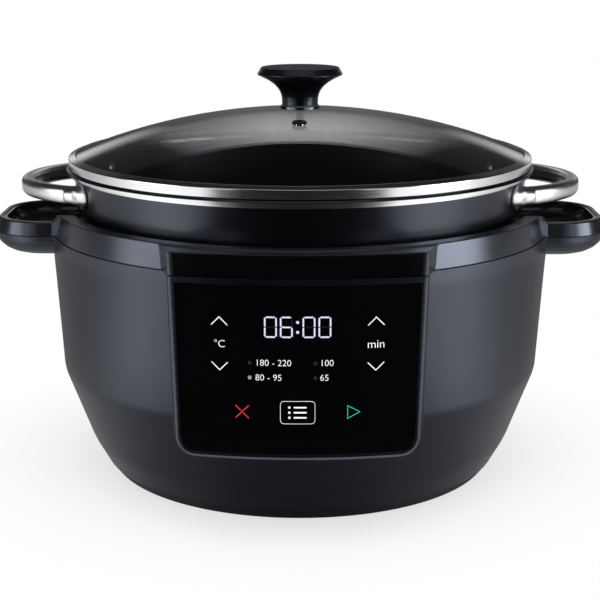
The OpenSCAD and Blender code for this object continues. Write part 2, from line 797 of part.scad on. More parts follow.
module collar_ring() {
  low = seam_z + seam_gap;
  top_r = collar_r - collar_lean;
  bevelled = [[grip_corner, low], [grip_corner - grip_bevel + 0.3, grip_top - 0.8],
              [grip_corner - grip_bevel - 0.5, grip_top]];
  under = [[grip_corner - shell_t, seam_z], [grip_corner - grip_bevel - shell_t, grip_top - shell_t]];
  dish_seat = concat(tuck_profile(dish_r + fit_gap, grip_top, dish_tuck, dish_depth + fit_gap),
                     [[dish_r + fit_gap, collar_top + past]]);
  strip = panel_outline(frame_w - fit_gap, strip_low - past, strip_top + fit_gap, 0, 0);
  inside = panel_outline(shell_t + 1.5, seam_z - past, collar_top - shell_t, 0, 0);
  color([0.27, 0.28, 0.31]) difference() {
    union() {
      rotate_extrude($fn = 180)
        polygon(rounded([[throat_r, throat_z, 0], [throat_r, collar_top, 1.2], [top_r, collar_top, 0.8],
                         [collar_r, low, 0], [collar_r - shell_t, low, 0],
                         [top_r - shell_t, collar_top - shell_t, 0],
                         [throat_r + shell_t, collar_top - shell_t, 0],
                         [throat_r + shell_t, throat_z, 0]], 4));
      difference() {
        union() {
          panel_block(low, block_top, strip_flare);
          both_sides() grip_form(bevelled);
          both_sides() grip_wedge(low, collar_top);
        }
        both_sides() grip_form(under);
        translate([0, 0, seam_z]) cylinder(h = collar_h + past, r = top_r - shell_t / 2, $fn = 180);
      }
      around(tab_angles, tab_r, throat_z) cylinder(h = throat_h - shell_t / 2, r = boss_r);
    }
    both_sides() grip_form(dish_seat);
    both_sides() translate([grip_root, 0, 0]) rotate([90, 0, 90]) linear_extrude(grip_reach)
      polygon([[-notch_half, grip_top], [notch_half, grip_top], [notch_half + notch_run, collar_top + past],
               [-notch_half - notch_run, collar_top + past]]);
    translate([0, 0, throat_z - past]) cylinder(h = throat_h + 2 * past, r = throat_r, $fn = 180);
    intersection() {
      panel_prism(inside);
      panel_column(strip_back_r - strip_wall, seam_z - past, collar_top);
      difference() {
        translate([0, 0, seam_z - past]) cylinder(h = collar_h, r = panel_y + 2 * past);
        translate([0, 0, seam_z - 2 * past])
          cylinder(h = collar_h + 2 * past, r = throat_r + shell_t, $fn = 180);
      }
    }
    difference() {
      panel_prism(strip);
      panel_column(strip_back_r - fit_gap, strip_low - 2 * past, strip_top + past);
    }
    around(tab_angles, tab_r, throat_z - past)
      cylinder(h = liner_screw_in + 2 * past, r = small_screw_r + hold_gap);
  }
}

// Dish pressed into a grip, on the +X side
module grip_dish() {
  brim = grip_top - dish_sunk;
  outer = tuck_profile(dish_r, brim, dish_tuck, dish_depth - dish_sunk);
  inner = tuck_profile(dish_r - dish_t, brim, dish_tuck, dish_depth - dish_sunk - dish_t);
  low = outer[0][1];
  floor_z = inner[0][1];
  difference() {
    grip_sweep(concat([[0, low]], outer, [for (i = [len(inner) - 1 : -1 : 0]) inner[i]], [[0, floor_z]]),
               low, floor_z);
    translate([0, 0, grip_low]) cylinder(h = grip_depth + past, r = throat_r + fit_gap, $fn = 180);
  }
}

module grip_dish_right() {
  color([0.03, 0.03, 0.035]) grip_dish();
}

module grip_dish_left() {
  color([0.03, 0.03, 0.035]) mirror([1, 0, 0]) grip_dish();
}

module fascia_strip() {
  color([0.03, 0.03, 0.035]) intersection() {
    panel_prism(panel_outline(frame_w, strip_low, strip_top, 0.6, 0.6));
    difference() {
      panel_column(panel_curve_r - 0.1, strip_low - past, strip_top + past);
      panel_column(strip_back_r, strip_low - 2 * past, strip_top + 2 * past);
    }
  }
}

module panel_lens() {
  color([0.02, 0.02, 0.025]) intersection() {
    panel_prism(panel_outline(frame_w, panel_low_z + frame_w, lens_top, panel_corner - frame_w, 2));
    difference() {
      panel_column(panel_curve_r - lens_sunk, panel_low_z, seam_z);
      panel_column(lens_back_r, panel_low_z - past, seam_z + past);
    }
  }
}

module display_module() {
  color("whitesmoke") intersection() {
    translate([-display_w / 2, -panel_y, display_z - display_h / 2])
      cube([display_w, panel_y - board_face_y, display_h]);
    panel_column(lens_back_r - fit_gap, panel_low_z, seam_z);
  }
}

module control_board() {
  color("darkgreen") difference() {
    translate([-panel_board_w / 2, -board_face_y, panel_board_z - panel_board_h / 2])
      cube([panel_board_w, board_t, panel_board_h]);
    control_screw_places() translate([0, 0, -10]) cylinder(h = 20, r = small_screw_r + 0.1);
  }
}

// Frame of each control board screw: z runs forwards, with 0 on the board's back face
module control_screw_places() {
  for (x = [-post_x, post_x]) {
    for (dz = [-post_dz, post_dz]) {
      translate([x, board_t - board_face_y, panel_board_z + dz]) rotate([90, 0, 0]) children();
    }
  }
}

module control_screws() {
  color("gainsboro") control_screw_places() small_screw(board_t + post_hole - fit_gap);
}

module touch_pads() {
  places = concat([for (x = [-key_x, key_x]) for (dz = key_z) [x, key_mid_z + dz]],
                  [for (x = [-low_key_x, 0, low_key_x]) [x, low_key_z]]);
  color([0.25, 0.25, 0.25]) intersection() {
    for (p = places) {
      translate([p[0], -board_face_y, p[1]]) rotate([90, 0, 0]) difference() {
        cylinder(h = panel_y - board_face_y, r = pad_r);
        translate([0, 0, -past]) cylinder(h = panel_y - board_face_y + 2 * past, r = pad_hole_r);
      }
    }
    panel_column(lens_back_r - fit_gap, panel_low_z, seam_z);
  }
}

module inner_liner() {
  low = liner_floor_z;
  top = throat_z;
  floor_in = low + liner_t;
  color("silver") difference() {
    rotate_extrude($fn = 180)
      polygon(rounded([[liner_hole_r, low, 0], [liner_in(low) + liner_t, low, 10],
                       [liner_in(liner_z) + liner_t, liner_z, 0], [liner_flange_r, liner_z, 0],
                       [liner_flange_r, top, 0], [liner_in(top), top, 0], [liner_in(floor_in), floor_in, 9.2],
                       [liner_hole_r, floor_in, 0]], 6));
    around(tab_angles, tab_r, liner_z - past) cylinder(h = liner_t + 2 * past, r = small_screw_r + 0.2);
  }
}

module liner_screws() {
  color("gainsboro") around(tab_angles, tab_r, liner_z - tab_t) small_screw(tab_t + liner_t + liner_screw_in);
}

module heating_plate() {
  color([0.62, 0.63, 0.65]) difference() {
    rotate_extrude($fn = 180)
      polygon(rounded([[guide_out_r + fit_gap, plate_low, 0], [plate_r, plate_low, 2],
                       [plate_r, plate_z, 1.5], [guide_out_r + fit_gap, plate_z, 0.5]], 4));
    translate([0, 0, plate_low]) rotate_extrude() translate([element_r, 0]) circle(element_tube_r + 0.05);
    heater_screw_places() translate([0, 0, -past]) cylinder(h = heater_screw_in + past, r = heater_screw_r);
  }
}

// Frame of each heater screw: z runs up, with 0 on the plate's lower face
module heater_screw_places() {
  around(bracket_angles, plate_r - bracket_in / 2, plate_low) children();
}

module heating_element() {
  color([0.5, 0.5, 0.52]) translate([0, 0, plate_low]) {
    rotate([0, 0, 90 + element_gap]) rotate_extrude(angle = 360 - 2 * element_gap)
      translate([element_r, 0]) circle(element_tube_r, $fn = 32);
    around([90 - element_gap, 90 + element_gap], element_r, 0) {
      sphere(element_tube_r, $fn = 32);
      translate([0, 0, -terminal_l]) cylinder(h = terminal_l, r = terminal_r, $fn = 32);
    }
  }
}

module heater_brackets() {
  post = liner_floor_z - plate_low;
  color("silver") difference() {
    around(bracket_angles, plate_r, plate_low - bracket_t) {
      translate([-bracket_in, -bracket_w / 2, 0])
        cube([bracket_in + bracket_out, bracket_w, bracket_t]);
      translate([bracket_out - 8, -bracket_w / 2, 0]) cube([8, bracket_w, bracket_t + post]);
    }
    heater_screw_places() translate([0, 0, -bracket_t - past])
      cylinder(h = bracket_t + 2 * past, r = heater_screw_r + 0.1);
  }
}

module heater_screws() {
  color("gainsboro") heater_screw_places() translate([0, 0, -bracket_t])
    small_screw(bracket_t + heater_screw_in - 0.5, heater_screw_r, small_head_r + 0.6);
}

module sensor_guide() {
  low = guide_floor_z - guide_floor_t;
  color([0.75, 0.72, 0.65]) rotate_extrude()
    polygon([[stem_r + fit_gap, low], [guide_out_r, low], [guide_out_r, plate_low - bracket_t],
             [guide_flange_r, plate_low - bracket_t], [guide_flange_r, plate_low], [guide_out_r, plate_low],
             [guide_out_r, plate_z - 2], [guide_in_r, plate_z - 2], [guide_in_r, guide_floor_z],
             [stem_r + fit_gap, guide_floor_z]]);
}

// Rings of points along a coil, swept into one tube
module sensor_spring() {
  sides = 6;
  rings = spring_turns * 8;
  low = guide_floor_z + spring_wire_r;
  rise = spring_l - 2 * spring_wire_r - fit_gap;
  points = [for (i = [0 : rings]) for (k = [0 : sides - 1])
    let (a = 45 * i, b = 360 * k / sides, r = spring_r + spring_wire_r * cos(b))
    [r * cos(a), r * sin(a), low + rise * i / rings + spring_wire_r * sin(b)]];
  walls = [for (i = [0 : rings - 1]) for (k = [0 : sides - 1])
    let (p = i * sides + k, q = i * sides + (k + 1) % sides)
    each [[p, p + sides, q + sides], [p, q + sides, q]]];
  first = [for (k = [1 : sides - 2]) [0, k, k + 1]];
  last = [for (k = [1 : sides - 2]) [rings * sides, rings * sides + k + 1, rings * sides + k]];
  color("lightgray") polyhedron(points, concat(walls, first, last));
}

module sensor_plunger() {
  retainer_top = guide_floor_z - guide_floor_t - lift_gap;
  color([0.7, 0.7, 0.72]) rotate_extrude()
    polygon(rounded([[0, retainer_top - retainer_h, 0], [stem_r + 2.5, retainer_top - retainer_h, 0.4],
                     [stem_r + 2.5, retainer_top, 0], [stem_r, retainer_top, 0], [stem_r, spring_top, 0],
                     [sensor_r, spring_top, 0], [sensor_r, plate_z, 1], [0, plate_z, 0]], 4));
}

module thermal_cutout() {
  color("saddlebrown") translate([cutout_x, 0, plate_low - cutout_h]) {
    cylinder(h = cutout_h, r = cutout_r);
    translate([-cutout_r - 4, -3, cutout_h - 1]) cube([2 * cutout_r + 8, 6, 1]);
  }
}

module power_board() {
  color("darkgreen") difference() {
    translate([-board_w / 2, board_y - board_d / 2, board_z]) cube([board_w, board_d, board_t]);
    board_corners() translate([0, 0, board_z - past])
      cylinder(h = board_t + 2 * past, r = small_screw_r + fit_gap);
  }
}

module board_corners() {
  for (x = [-board_hole_x, board_hole_x]) {
    for (y = [-board_hole_y, board_hole_y]) {
      translate([x, board_y + y, 0]) children();
    }
  }
}

module power_components() {
  left = part_edge - board_w / 2;
  front = part_edge - board_d / 2;
  relay_x = left + transformer_w + part_gap;
  can_x = -left - can_r;
  color([0.2, 0.2, 0.25]) translate([0, board_y, board_top]) {
    translate([left, front, 0]) cube([transformer_w, transformer_d, transformer_h]);
    for (i = [0, 1]) {
      translate([relay_x + i * (relay_w + part_gap), front, 0]) cube([relay_w, relay_d, relay_h]);
    }
    translate([can_x, can_r, 0]) cylinder(h = can_h, r = can_r);
    translate([can_x, -can_r - part_gap, 0]) cylinder(h = small_can_h, r = small_can_r);
    translate([left, -front - choke_d, 0]) cube([choke_w, choke_d, choke_h]);
  }
}

module board_screws() {
  color("gainsboro") board_corners() translate([0, 0, board_top]) rotate([180, 0, 0])
    small_screw(board_t + board_screw_in);
}

module inlet_shell() {
  color([0.08, 0.08, 0.09]) difference() {
    union() {
      translate([0, inlet_y + flange_t, inlet_z]) rotate([90, 0, 0]) linear_extrude(flange_t)
        polygon(rounded([for (k = [[-1, -1], [1, -1], [1, 1], [-1, 1]])
          [k[0] * inlet_w / 2, k[1] * inlet_h / 2, inlet_corner]], 6));
      translate([-inlet_body_w / 2, inlet_y + flange_t - inlet_depth, inlet_z - inlet_body_h / 2])
        cube([inlet_body_w, inlet_depth, inlet_body_h]);
    }
    translate([0, inlet_y + flange_t + past, inlet_z]) rotate([90, 0, 0]) linear_extrude(socket_depth + past)
      polygon([[-socket_w / 2, -socket_h / 2], [socket_w / 2, -socket_h / 2],
               [socket_w / 2, socket_h / 2 - key_cut], [socket_w / 2 - key_cut, socket_h / 2],
               [key_cut - socket_w / 2, socket_h / 2], [-socket_w / 2, socket_h / 2 - key_cut]]);
    pin_places() cube([pin_w, 2 * inlet_depth, pin_h], center = true);
  }
}

module pin_places() {
  for (p = [[-pin_x, -pin_dz], [0, pin_dz], [pin_x, -pin_dz]]) {
    translate([p[0], inlet_y + flange_t - inlet_depth, inlet_z + p[1]]) children();
  }
}

module inlet_pins() {
  color("gold") pin_places() translate([-pin_w / 2, -pin_tail, -pin_h / 2])
    cube([pin_w, pin_tail + inlet_depth - pin_sunk, pin_h]);
}

module base_cover() {
  edge_r = base_r - base_edge_in;
  seat_r = base_r - shell_t - fit_gap;
  color([0.12, 0.12, 0.13]) difference() {
    union() {
      rotate_extrude($fn = 180)
        polygon(rounded([[0, foot_h, 0], [edge_r, foot_h, 1], [base_r - cover_edge_in, base_z - seam_gap, 0],
                         [seat_r, base_z - seam_gap, 0], [seat_r, base_z + cover_lip_h, 0],
                         [seat_r - cover_lip_t, base_z + cover_lip_h, 0],
                         [seat_r - cover_lip_t, cover_floor_z, 0], [0, cover_floor_z, 0]], 4));
      board_corners() translate([0, 0, cover_floor_z]) cylinder(h = board_up, r = standoff_r);
    }
    for (a = foot_angles) {
      rotate([0, 0, a - foot_arc / 2]) rotate_extrude(angle = foot_arc)
        translate([foot_in_r - hold_gap, foot_h - past])
          square([foot_w + 2 * hold_gap, foot_seat + past]);
    }
    around([for (i = [0 : slot_count - 1]) 360 * (i + 0.5) / slot_count], slot_in_r, foot_h - past)
      translate([0, -slot_w / 2, 0]) cube([slot_l, slot_w, shell_t + 2 * past]);
    around(cover_screw_angles, cover_screw_at, foot_h - past) {
      cylinder(h = shell_t + 2 * past, r = small_screw_r + fit_gap);
      cylinder(h = head_sunk + past, r = small_head_r + 2 * fit_gap);
    }
    board_corners() translate([0, 0, board_z - board_screw_in - past])
      cylinder(h = board_screw_in + 2 * past, r = small_screw_r + hold_gap);
  }
}

module cover_screws() {
  color("gainsboro") around(cover_screw_angles, cover_screw_at, foot_h + head_sunk)
    small_screw(cover_screw_l + cover_floor_z - foot_h - head_sunk - past);
}

module feet() {
  color([0.08, 0.08, 0.08]) for (a = foot_angles) {
    rotate([0, 0, a - foot_arc / 2]) rotate_extrude(angle = foot_arc)
      polygon(rounded([[foot_in_r, 0, 0.5], [foot_out_r, 0, 0.5], [foot_out_r, foot_h + foot_seat, 0],
                       [foot_in_r, foot_h + foot_seat, 0]], 3));
  }
}

module inner_leads() {
  color("firebrick") {
    around([90 - element_gap, 90 + element_gap], element_r, board_top)
      cylinder(h = plate_low - terminal_l - board_top, r = lead_r, $fn = 24);
    for (y = [-4, 4]) {
      translate([cutout_x, y, board_top])
        cylinder(h = plate_low - cutout_h - board_top, r = lead_r, $fn = 24);
    }
  }
}

module inlet_leads() {
  back = inlet_y + flange_t - inlet_depth - pin_tail;
  front = board_y + board_d / 2 - 5;
  color("firebrick") for (x = [-pin_x, pin_x]) {
    translate([x, 0, inlet_z - pin_dz]) {
      translate([0, back, 0]) rotate([90, 0, 0]) cylinder(h = back - front, r = lead_r, $fn = 24);
      translate([0, front, 0]) sphere(lead_r, $fn = 24);
    }
    translate([x, front, board_top]) cylinder(h = inlet_z - pin_dz - board_top, r = lead_r, $fn = 24);
  }
}

// A flat cable from the control board down to the power board
module panel_ribbon() {
  t = 1;
  w = 30;
  start = board_t - board_face_y;
  front = board_y - board_d / 2 + 4;
  path = [[start, panel_board_low + 10], [start, panel_board_low - 1], [-hip_r + 2, liner_floor_z - 8],
          [-hip_r + 14, hip_z + 6], [front, board_top + 4], [front, board_top]];
  color("lightgray") translate([-w / 2, 0, 0]) rotate([90, 0, 90]) linear_extrude(w)
    polygon(concat(path, [for (i = [len(path) - 1 : -1 : 0]) path[i] + [t, i > 3 ? 0 : t / 2]]));
}

lid_glass();
lid_rim();
lid_knob();
knob_ring();
knob_screw();
knob_washer();
vent_eyelet();
cooking_pot();
pot_handle_left();
pot_handle_right();
pot_rivets();
outer_housing();
collar_ring();
grip_dish_left();
grip_dish_right();
fascia_strip();
panel_lens();
display_module();
control_board();
touch_pads();
control_screws();
inner_liner();
liner_screws();
heating_plate();
heating_element();
heater_brackets();
heater_screws();
sensor_guide();
sensor_spring();
sensor_plunger();
thermal_cutout();
power_board();
power_components();
board_screws();
inlet_shell();
inlet_pins();
base_cover();
cover_screws();
feet();
inner_leads();
inlet_leads();
panel_ribbon();
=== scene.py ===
"""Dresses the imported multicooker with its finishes, panel marks and trim, on a studio stage."""

import math

import bmesh
import bpy
from bpy.props import FloatProperty, FloatVectorProperty, PointerProperty
from mathutils import Matrix, Vector


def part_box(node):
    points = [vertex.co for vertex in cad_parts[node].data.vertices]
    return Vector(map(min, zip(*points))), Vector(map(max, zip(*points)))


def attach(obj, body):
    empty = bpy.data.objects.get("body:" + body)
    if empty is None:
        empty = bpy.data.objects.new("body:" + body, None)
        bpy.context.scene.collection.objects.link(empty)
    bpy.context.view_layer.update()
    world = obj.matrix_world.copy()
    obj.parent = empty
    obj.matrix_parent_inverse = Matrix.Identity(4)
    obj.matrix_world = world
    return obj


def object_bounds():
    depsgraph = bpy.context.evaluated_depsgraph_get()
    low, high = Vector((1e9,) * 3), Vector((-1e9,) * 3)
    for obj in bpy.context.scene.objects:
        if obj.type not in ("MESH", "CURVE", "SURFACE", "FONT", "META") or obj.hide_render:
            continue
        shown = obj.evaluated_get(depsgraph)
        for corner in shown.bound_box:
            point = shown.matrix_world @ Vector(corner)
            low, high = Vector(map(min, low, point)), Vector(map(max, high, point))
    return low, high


bl_info = {
    "name": "Multicooker",
    "version": (1, 0, 0),
    "blender": (4, 5, 0),
    "location": "3D View > Sidebar > Multicooker",
    "description": "Dresses a multicooker's solids with finishes, panel marks, trim and a stage",
    "category": "Object",
}

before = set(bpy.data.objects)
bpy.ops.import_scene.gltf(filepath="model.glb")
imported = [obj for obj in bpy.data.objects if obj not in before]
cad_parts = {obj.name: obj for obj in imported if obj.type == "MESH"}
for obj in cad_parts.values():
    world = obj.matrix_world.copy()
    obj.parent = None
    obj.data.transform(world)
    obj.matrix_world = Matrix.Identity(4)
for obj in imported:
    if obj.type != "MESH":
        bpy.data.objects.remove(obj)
CAD_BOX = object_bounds()
CAD_FRONT = CAD_BOX[0][1]

LENS_LOW, LENS_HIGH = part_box("panel_lens")
STRIP_LOW, STRIP_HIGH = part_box("fascia_strip")
POT_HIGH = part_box("cooking_pot")[1]

# The lit time, as plain digits, and which of a digit's seven bars each one lights
SHOWN_TIME = "06:00"
BARS_LIT = {"0": "abcdef", "6": "acdefg"}
BAR_PLACES = {
    "a": (0, 1, 0), "b": (0.5, 0.5, 1), "c": (0.5, -0.5, 1), "d": (0, -1, 0),
    "e": (-0.5, -0.5, 1), "f": (-0.5, 0.5, 1), "g": (0, 0, 0),
}

# Mode lamps, as distances from the panel's middle and below the lens's top, and which of them is lit
MODE_ROWS = (0.0446, 0.0532)
MODE_LAMPS = [(x, down) for down in MODE_ROWS for x in (-0.027, 0.010)]
LIT_LAMP = MODE_LAMPS[2]

# The menu key's dots and lines: place across from its middle, half the width and half the height
MENU_SHAPES = ((-0.0047, 0.0007, 0.0007), (0.0014, 0.0037, 0.00045))

# Units and plain numbers: text, place as for the lamps, alignment and scale
UNIT_ROW = 0.0343
PLAIN_NUMBERS = (
    ("\u00b0C", -0.044, UNIT_ROW, "CENTER", 1.15), ("min", 0.044, UNIT_ROW, "CENTER", 1.3),
    ("180 - 220", -0.0240, MODE_ROWS[0], "LEFT", 1), ("100", 0.0124, MODE_ROWS[0], "LEFT", 1),
    ("80 - 95", -0.0240, MODE_ROWS[1], "LEFT", 1), ("65", 0.0124, MODE_ROWS[1], "LEFT", 1),
)

# Soft boxes: name, place, point they face, width, height, power, and whether reflections show them
LAMPS = (
    ("box_left", (-0.93, -0.36, 0.27), (0, 0, 0.17), 0.5, 0.3, 1.15, True),
    ("box_right", (0.93, -0.36, 0.27), (0, 0, 0.17), 0.5, 0.3, 2.6, True),
    ("box_top", (0, -0.25, 1.15), (0, -0.05, 0), 1.2, 1.2, 11.5, False),
)

# Strength of the background where it only lights, and share of plain white in the floor by the cooker
FILL_LIGHT = 0.45
FLOOR_LIFT = 0.7

# Cards that only reflections show: name, brightness, whether glass shows them too, two opposite corners
ROOM_SIDE, ROOM_FRONT, ROOM_BACK, ROOM_LOW, ROOM_HIGH = 2.7, -1.8, 1.4, 0.0005, 1.2
FLAGS = (
    ("flag_front", 0.0, True, (-1.0, ROOM_FRONT, 0), (1.0, ROOM_FRONT, ROOM_HIGH)),
    ("flag_ceiling", 0.02, True, (-ROOM_SIDE, ROOM_FRONT, ROOM_HIGH), (ROOM_SIDE, ROOM_BACK, ROOM_HIGH)),
    ("flag_above", 0.5, False, (-0.6, -0.95, ROOM_HIGH - 0.01), (0.6, -0.15, ROOM_HIGH - 0.01)),
    ("flag_left", 0.0, True, (-ROOM_SIDE, -0.5, 0), (-ROOM_SIDE, ROOM_BACK, ROOM_HIGH)),
    ("flag_right", 0.0, True, (ROOM_SIDE, -0.5, 0), (ROOM_SIDE, ROOM_BACK, ROOM_HIGH)),
)

# The back card's brightness, and its light patches: high in the middle, and lower at both sides. A patch
# is the product of fades, each along an axis between two places, from one level to another
BACK_PLAIN = 0.055
BACK_PATCHES = (
    (("side", 0.1, 0.46, 1.0, 0.0), ("up", 0.45, 1.0, 0.08, 1.1)),
    (
        ("side", 0.3, 0.6, 0.0, 1.0), ("side", 0.75, 1.0, 1.0, 0.0),
        ("up", 0.28, 0.38, 0.0, 1.0), ("up", 0.46, 0.6, 1.0, 0.0),
    ),
)

# Brightness of the floor as reflections show it, by the angle from the front in degrees. The middle and
# the far band each take over between two distances from the pot's axis
FLOOR_NEAR = ((0, 0.05), (20, 0.1), (45, 0.22), (70, 0.38), (100, 0.42), (180, 0.35))
FLOOR_MIDDLE = (
    (0, 0.0), (38, 0.01), (50, 1.2), (60, 1.65), (70, 1.4), (84, 0.55), (100, 0.28), (180, 0.25),
)
FLOOR_FAR = (
    (0, 0.02), (28, 0.03), (36, 0.15), (44, 1.2), (80, 1.2), (104, 0.7), (120, 0.5), (180, 0.6),
)
FLOOR_BANDS = ((FLOOR_MIDDLE, 0.24, 0.36), (FLOOR_FAR, 0.84, 0.94))

# Picks the level part of a place, its way from the pot's axis
LEVEL = (1, 1, 0)


def length(name, text, default, unit="LENGTH"):
    """A length property, in metres unless its unit is the camera's."""
    return FloatProperty(name=name, description=text, default=default, unit=unit, precision=5)


def colour(name, text, default):
    """A colour property."""
    return FloatVectorProperty(
        name=name, description=text, default=default, subtype="COLOR", size=3, min=0, max=1
    )


class PanelSizes(bpy.types.PropertyGroup):
    """Sizes of the marks and trim on the control panel."""

    face_radius: length("Face radius", "Radius of the curved face of the panel's lens", 0.2597)
    lens_sunk: length("Lens sunk", "How far the lens lies behind its frame's face", 0.0003)
    low_half: length("Half width, low", "Half the frame's width at its lower edge", 0.0703)
    frame_width: length("Frame width", "Width of the frame round the lens", 0.003)
    corner: length("Lower corner", "Radius of the frame's lower corners, outside", 0.011)
    # The bead is a real raised piece; its lighter colour is a painted highlight along its round
    bead_width: length("Bead width", "Width of the lighter bead along the frame's outer edge", 0.0014)
    bead_height: length("Bead height", "How far the bead stands out of the frame", 0.00025)
    # The bevel is drawn as a flat strip whose dark colour is painted shade, where a sloped bevel would
    # face away from the light
    bevel_width: length("Bevel width", "Width of the dark bevel inside the bead", 0.0017)
    print_depth: length("Print depth", "Thickness of a printed mark", 0.00006)
    stroke: length("Stroke", "Width of a drawn line", 0.00054)
    path_step: length("Path step", "Longest straight span of a line that follows the curved face", 0.0025)
    digits_down: length("Digits down", "Distance of the digits' middle below the lens's top", 0.02365)
    digit_height: length("Digit height", "Height of a digit between the middles of its end bars", 0.0114)
    digit_width: length("Digit width", "Width of a digit between the middles of its upright bars", 0.0063)
    digit_near: length("Digit near", "Distance of the inner digits from the panel's middle", 0.0063)
    digit_pitch: length("Digit pitch", "Distance between the digits of a pair", 0.0089)
    bar_length: length("Bar length", "Length of one bar of a digit", 0.0055)
    bar_width: length("Bar width", "Width of one bar of a digit", 0.00093)
    colon_half: length("Colon half", "Half the width of a dot between the digits", 0.0008)
    colon_corner: length("Colon corner", "Radius of the corners of such a dot", 0.0004)
    arrow_side: length("Arrow side", "Distance of the arrows from the panel's middle", 0.044)
    arrows_down: length("Arrows down", "Distance of the arrows' middle below the lens's top", 0.0340)
    arrow_apart: length("Arrow apart", "Distance of each arrow from their middle", 0.0131)
    arrow_half: length("Arrow half", "Half the width of an arrow", 0.0046)
    key_side: length("Key side", "Distance of the stop and start keys from the panel's middle", 0.0315)
    keys_down: length("Keys down", "Distance of the lower keys below the lens's top", 0.0735)
    key_half: length("Key half", "Half the size of the stop and start keys", 0.0038)
    menu_half: length("Menu half", "Half the width of the menu key's box", 0.0098)
    menu_high: length("Menu high", "Half the height of the menu key's box", 0.006664)
    menu_corner: length("Menu corner", "Radius of the corners of the menu key's box", 0.0022)
    menu_stroke: length("Menu stroke", "Width of the line round the menu key", 0.000243)
    menu_row: length("Menu row", "Distance between the menu key's lines", 0.003)
    lamp_radius: length("Lamp radius", "Radius of a mode lamp", 0.0011)
    number_size: length("Number size", "Height of the plain numbers' line", 0.0053)
    number_thin: length("Number thinning", "How far the plain numbers' strokes are drawn in", 0.00006)


class FinishColours(bpy.types.PropertyGroup):
    """Colours of the finishes."""

    housing: colour("Housing", "Satin charcoal of the housing", (0.0080, 0.0086, 0.0104))
    collar: colour("Collar", "Charcoal of the collar, a shade lighter", (0.0100, 0.0108, 0.0128))
    gloss: colour("Gloss black", "Polished black of the grip dishes", (0.004, 0.004, 0.005))
    lens: colour("Lens", "Black of the panel's lens and strip", (0.0015, 0.0015, 0.002))
    # The knob's blue-black also colours the panel's bevel and seam, where it stands as painted shade
    knob: colour("Knob", "Blue-black of the lid's knob and the panel's bevel", (0.0026, 0.0030, 0.0048))
    coating: colour("Coating", "Dark non-stick coating of the pot", (0.0016, 0.0016, 0.0020))
    steel: colour("Steel", "Steel of the lid's band, the pot's lip and the rivets", (0.80, 0.80, 0.81))
    handle: colour("Handle", "Satin steel of the loop handles", (0.73, 0.73, 0.74))
    mark: colour("Mark", "White of the printed marks", (0.92, 0.92, 0.94))
    digit: colour("Digit", "Lilac white of the lit digits", (0.72, 0.70, 0.86))
    stop: colour("Stop", "Red of the stop key", (0.78, 0.02, 0.05))
    start: colour("Start", "Green of the start key", (0.03, 0.52, 0.36))
    # The trim's lighter charcoal is a painted highlight on the rounded bead
    trim: colour("Trim", "Lighter charcoal of the bead round the panel", (0.085, 0.090, 0.106))
    sheen: colour("Sheen", "Cool tint of the satin plastic's highlights", (0.72, 0.81, 1.0))


class PotSizes(bpy.types.PropertyGroup):
    """Where the pot is bare metal."""

    lip_top: length("Lip top", "Depth below the pot's top at which the bare metal starts", 0.0011)
    lip_low: length("Lip low", "Depth below the pot's top at which it ends", 0.0050)
    lip_inside: length("Lip inside", "Distance from the pot's axis beyond which the lip is bare", 0.1492)


class StageSizes(bpy.types.PropertyGroup):
    """Sizes of the stage and the camera's place."""

    camera_back: length("Camera back", "Distance of the camera in front of the pot's axis", 0.95794)
    camera_up: length("Camera up", "Height of the camera above the floor", 0.34145)
    camera_side: length("Camera side", "Distance of the camera to the right of the pot's axis", 0.0075)
    camera_tilt: FloatProperty(
        name="Camera tilt", description="How far the camera looks down", subtype="ANGLE",
        default=math.radians(13.75),
    )
    camera_lens: length("Camera lens", "Focal length of the camera", 88.13, "CAMERA")
    camera_film: length("Camera film", "Width of the camera's frame", 36.0, "CAMERA")
    floor_radius: length("Floor radius", "Radius of the pale floor", 3.0)
    shadow_radius: length("Shadow radius", "Distance within which the floor shows the full shadow", 0.13)
    plain_radius: length("Plain radius", "Distance from which the floor is plain background", 0.26)


class CookerSettings(bpy.types.PropertyGroup):
    """All that a user would change."""

    panel: PointerProperty(type=PanelSizes)
    finish: PointerProperty(type=FinishColours)
    pot: PointerProperty(type=PotSizes)
    stage: PointerProperty(type=StageSizes)


def settings():
    """The scene's settings."""
    return bpy.context.scene.multicooker


def add_node(tree, kind, inputs=None, **fields):
    """A node of that kind, with its fields set and with values or links on its inputs."""
    made = tree.nodes.new(kind)
    for key, value in fields.items():
        setattr(made, key, value)
    for key, value in (inputs or {}).items():
        if isinstance(value, bpy.types.NodeSocket):
            tree.links.new(value, made.inputs[key])
        else:
            made.inputs[key].default_value = value
    return made


def maths(tree, operation, first, second=0.0):
    """The result of one sum."""
    return add_node(tree, "ShaderNodeMath", {0: first, 1: second}, operation=operation).outputs[0]


def vectors(tree, operation, first, second=(0, 0, 0)):
    """The result of one vector sum, a value or a vector."""
    made = add_node(tree, "ShaderNodeVectorMath", {0: first, 1: second}, operation=operation)
    return made.outputs["Value" if operation in ("LENGTH", "DOT_PRODUCT") else "Vector"]


def split(tree, vector):
    """A vector's three parts."""
    return add_node(tree, "ShaderNodeSeparateXYZ", {"Vector": vector}).outputs


def spread(tree, value, low, high, to_low, to_high):
    """A value mapped from one range to another, held at its ends."""
    return add_node(
        tree, "ShaderNodeMapRange",
        {"Value": value, "From Min": low, "From Max": high, "To Min": to_low, "To Max": to_high},
    ).outputs["Result"]


def blend_colours(tree, factor, *ends):
    """A colour between two, each a tint or a link."""
    first, second = [end if isinstance(end, bpy.types.NodeSocket) else (*end, 1) for end in ends]
    inputs = {0: factor, 6: first, 7: second}
    return add_node(tree, "ShaderNodeMix", inputs, data_type="RGBA").outputs[2]


def shade(tint, factor):
    """A tint made darker or lighter."""
    return [part * factor for part in tint]


